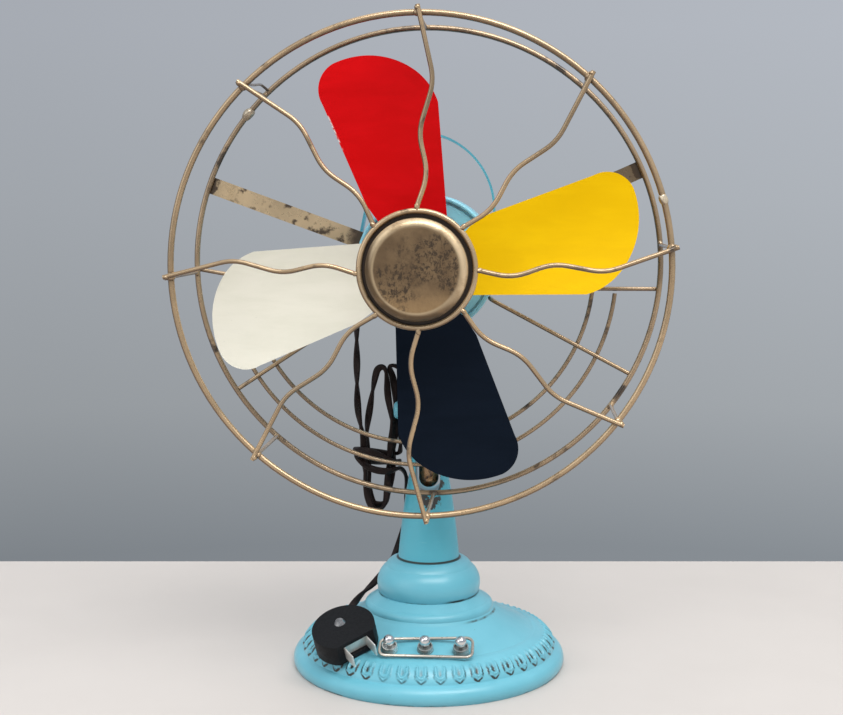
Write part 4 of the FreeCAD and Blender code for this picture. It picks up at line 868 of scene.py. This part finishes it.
# by piece; a piece that isn't named here is steel
finishes = {
    "front_ring": gold,
    "spokes": gold,
    "guard_ties": gold,
    "struts": gold,
    "rear_ring": rear_gold,
    "inner_arc": rear_gold,
    "outer_arc": rear_gold,
    "hub_ring": antique_gold("hub_ring_gold", (0.64, 0.465, 0.275), shaded=(0.30, 0.95)),
    "foot": turquoise("turquoise_foot", rings=((0.0308, 0.0006, 0.46, 0.024, 0.05),), border=True,
                      tones=((0.125, 0.430, 0.540), (0.154, 0.478, 0.592))),
    "bulb": turquoise("turquoise_bulb", rings=(
        (0.0594, 0.0014, 0.34, -0.04, 0.0181), (0.0400, 0.0014, 0.36, 0.012, 0.05))),
    "post": turquoise("turquoise_post", rings=((0.0600, 0.0007, 0.34, -0.04, 0.05),),
                      spots=((0.0930, 0.0012, 0.0048), (0.0975, -0.0020, 0.0030), (0.1030, 0.0068, 0.0034)),
                      tones=((0.075, 0.430, 0.550), (0.095, 0.460, 0.580))),
    "housing_front": housing_lit_paint,
    "housing_rear": housing_lit_paint,
    # a darker copy of the turquoise: painted shade on the thin arch of the handle
    "carry_handle": turquoise("turquoise_handle_shaded", tones=((0.080, 0.350, 0.450), (0.100, 0.410, 0.510)),
                              unevenness=0.05),
    "tilt_knob": turquoise("turquoise_paint"),
    "badge_cap": badge_gold(),
    "straps": antique_gold("strap_gold", (0.80, 0.60, 0.36), (0.085, 0.055, 0.032), 0.55, 150,
                           ((0.1195, 0.1212), (0.0470, 0.0405)), darker_right=0.80),
    "switch_frame": antique_gold("switch_wire", (0.80, 0.72, 0.62), (0.20, 0.15, 0.11), 0.68, 150),
    "stem": antique_gold("aged_brass", (0.42, 0.25, 0.115), (0.045, 0.024, 0.012), 0.47, 230),
    "tilt_nut": antique_gold("aged_brass_nut", (0.54, 0.38, 0.18), (0.05, 0.032, 0.018), 0.52, 180),
    "friction_washers": plain_metal("bearing_brass", (0.50, 0.36, 0.15), (0.36, 0.25, 0.10), 0.34),
    "bushes": plain_metal("bush_bronze", (0.50, 0.33, 0.15), (0.40, 0.25, 0.11), 0.32),
    "stator_core": plain_metal("core_steel", (0.16, 0.16, 0.17), (0.24, 0.24, 0.25), 0.48, 700, (1, 12, 1)),
    "armature": plain_metal("armature_steel", (0.20, 0.20, 0.21), (0.30, 0.30, 0.30), 0.42, 700, (1, 12, 1)),
    "field_coils": winding(),
    "switch_cups": antique_gold("cup_patina", (0.75, 0.78, 0.76), (0.16, 0.22, 0.20), 0.60, 260, (), 0.4),
    "switch_block": dull("switch_plastic", (0.05, 0.05, 0.05), (0.08, 0.08, 0.08), 0.5),
    "switch_cover": dull("switch_card", (0.16, 0.10, 0.05), (0.22, 0.15, 0.08), 0.6),
    "button_ball_left": chrome,
    "button_ball_middle": chrome,
    "button_ball_right": chrome,
    "plug_body": dull("black_plastic", (0.008, 0.0085, 0.010), (0.014, 0.015, 0.017), 0.50, 1500, 0.00006,
                      0.14),
    "plug_prongs": plain_metal("prong_metal", (0.80, 0.78, 0.74), (0.66, 0.64, 0.60), 0.36, 160,
                               metallic=0.7),
    "plug_rivet": plain_metal("rivet_metal", (0.46, 0.46, 0.46), (0.25, 0.25, 0.25), 0.26, 400),
    "cord_grommet": dull("black_rubber", (0.014, 0.013, 0.012), (0.03, 0.028, 0.026), 0.55),
    "blade_red": blade_paint("red_paint", (0.545, 0.0015, 0.0025), (0.600, 0.002, 0.004),
                             ((-0.0490, 0.3020), (-0.0415, 0.2850))),
    "blade_yellow": blade_paint("yellow_paint", (0.755, 0.450, 0.0005), (0.800, 0.490, 0.001)),
    "blade_navy": blade_paint("navy_paint", (0.0030, 0.0065, 0.0135), (0.0038, 0.0078, 0.0160)),
    "blade_white": blade_paint("white_paint", (0.79, 0.775, 0.665), (0.84, 0.82, 0.715)),
}


def finish(obj, material):
    obj.data.materials.clear()
    obj.data.materials.append(material)


for name, obj in nodes.items():
    finish(obj, finishes.get(name, steel))
finish(border_piece, finishes["foot"])
finish(bead_piece, gold)
finish(blob_piece, blob_gold_painted_highlight)
finish(tie_piece, tie_gold)
cover = cord_cover()
for piece in cord_pieces:
    finish(piece, cover)


# ---- table, backdrop and light ----
def make_table():
    bm = bmesh.new()
    bmesh.ops.create_cube(bm, size=1)
    size = Vector((2 * table_half_width, table_front + table_back, table_thickness))
    middle = Vector((0, 0.5 * (table_back - table_front), -0.5 * table_thickness))
    bmesh.ops.transform(bm, matrix=Matrix.Translation(middle) @ Matrix.Diagonal((*size, 1)), verts=bm.verts)
    table = mesh_object("table", bm, smooth=False)
    table.rotation_euler = (0, 0, camera_turn)
    s = Surface("table_top", Roughness=0.62, Specular_IOR_Level=0.3)
    faint = s.noise(5, 4, 0.6)
    s.set("Base Color", s.mix(s.ramp(faint, 0.35, 0.7), table_colour, tuple(0.96 * c for c in table_colour)))
    finish(table, s.material)


def make_world():
    """Soft light, stronger from above. The camera, glass and polished metal get the grey wall."""
    world = bpy.data.worlds.new("world")
    bpy.context.scene.world = world
    world.use_nodes = True
    tree = world.node_tree

    def spread(low, high, first=0.0, last=1.0):
        """Node that turns the values from low to high into those from first to last."""
        node = tree.nodes.new("ShaderNodeMapRange")
        for socket, value in zip(("From Min", "From Max", "To Min", "To Max"), (low, high, first, last)):
            node.inputs[socket].default_value = value
        return node

    light = tree.nodes["Background"]
    light.inputs["Color"].default_value = (*light_colour, 1)
    overhead = spread(*light_heights, *light_strengths)
    wall = tree.nodes.new("ShaderNodeBackground")
    coordinates = tree.nodes.new("ShaderNodeTexCoord")
    split = tree.nodes.new("ShaderNodeSeparateXYZ")
    ramp = tree.nodes.new("ShaderNodeValToRGB")
    stops = ramp.color_ramp.elements
    stops[0].position, stops[0].color = wall_tones[0][0], (*wall_tones[0][1], 1)
    stops[1].position, stops[1].color = wall_tones[-1][0], (*wall_tones[-1][1], 1)
    for position, colour in wall_tones[1:-1]:
        stops.new(position).color = (*colour, 1)
    shift = spread(*wall_heights)
    across = spread(*wall_reach, *wall_sides)
    path = tree.nodes.new("ShaderNodeLightPath")
    glass_or_metal = tree.nodes.new("ShaderNodeMath")
    glass_or_metal.operation = "MAXIMUM"
    seen = tree.nodes.new("ShaderNodeMath")
    seen.operation = "MAXIMUM"
    mixed = tree.nodes.new("ShaderNodeMixShader")
    for source, target in (
            (coordinates.outputs["Generated"], split.inputs["Vector"]),
            (split.outputs["Z"], shift.inputs["Value"]),
            (shift.outputs["Result"], ramp.inputs["Fac"]),
            (ramp.outputs["Color"], wall.inputs["Color"]),
            (split.outputs["Z"], overhead.inputs["Value"]),
            (overhead.outputs["Result"], light.inputs["Strength"]),
            (split.outputs["X"], across.inputs["Value"]),
            (across.outputs["Result"], wall.inputs["Strength"]),
            (path.outputs["Is Camera Ray"], seen.inputs[0]),
            (path.outputs["Is Transmission Ray"], glass_or_metal.inputs[0]),
            (path.outputs["Is Glossy Ray"], glass_or_metal.inputs[1]),
            (glass_or_metal.outputs["Value"], seen.inputs[1]),
            (seen.outputs["Value"], mixed.inputs["Fac"]),
            (light.outputs["Background"], mixed.inputs[1]),
            (wall.outputs["Background"], mixed.inputs[2]),
            (mixed.outputs["Shader"], tree.nodes["World Output"].inputs["Surface"])):
        tree.links.new(source, target)


def make_lamp(name, place, size, power, colour=(1, 1, 1)):
    """Soft box that looks at the middle of the fan."""
    data = bpy.data.lights.new(name, "AREA")
    data.shape = "RECTANGLE"
    data.size, data.size_y = size
    data.energy = power
    data.color = colour
    lamp = link(bpy.data.objects.new(name, data))
    lamp.location = place
    lamp.rotation_euler = (lamp_aim - Vector(place)).to_track_quat("-Z", "Y").to_euler()


make_table()
make_world()
make_lamp("key", (0.35, -0.85, 1.45), (1.5, 0.6), 21.0, (1.0, 0.98, 0.95))
make_lamp("fill", (-1.2, -1.0, 0.8), (1.2, 1.2), 6.0, (0.95, 0.98, 1.0))
make_lamp("top", (0.1, 0.2, 1.6), (1.4, 1.2), 4.0)

bpy.context.scene.view_settings.view_transform = "Standard"
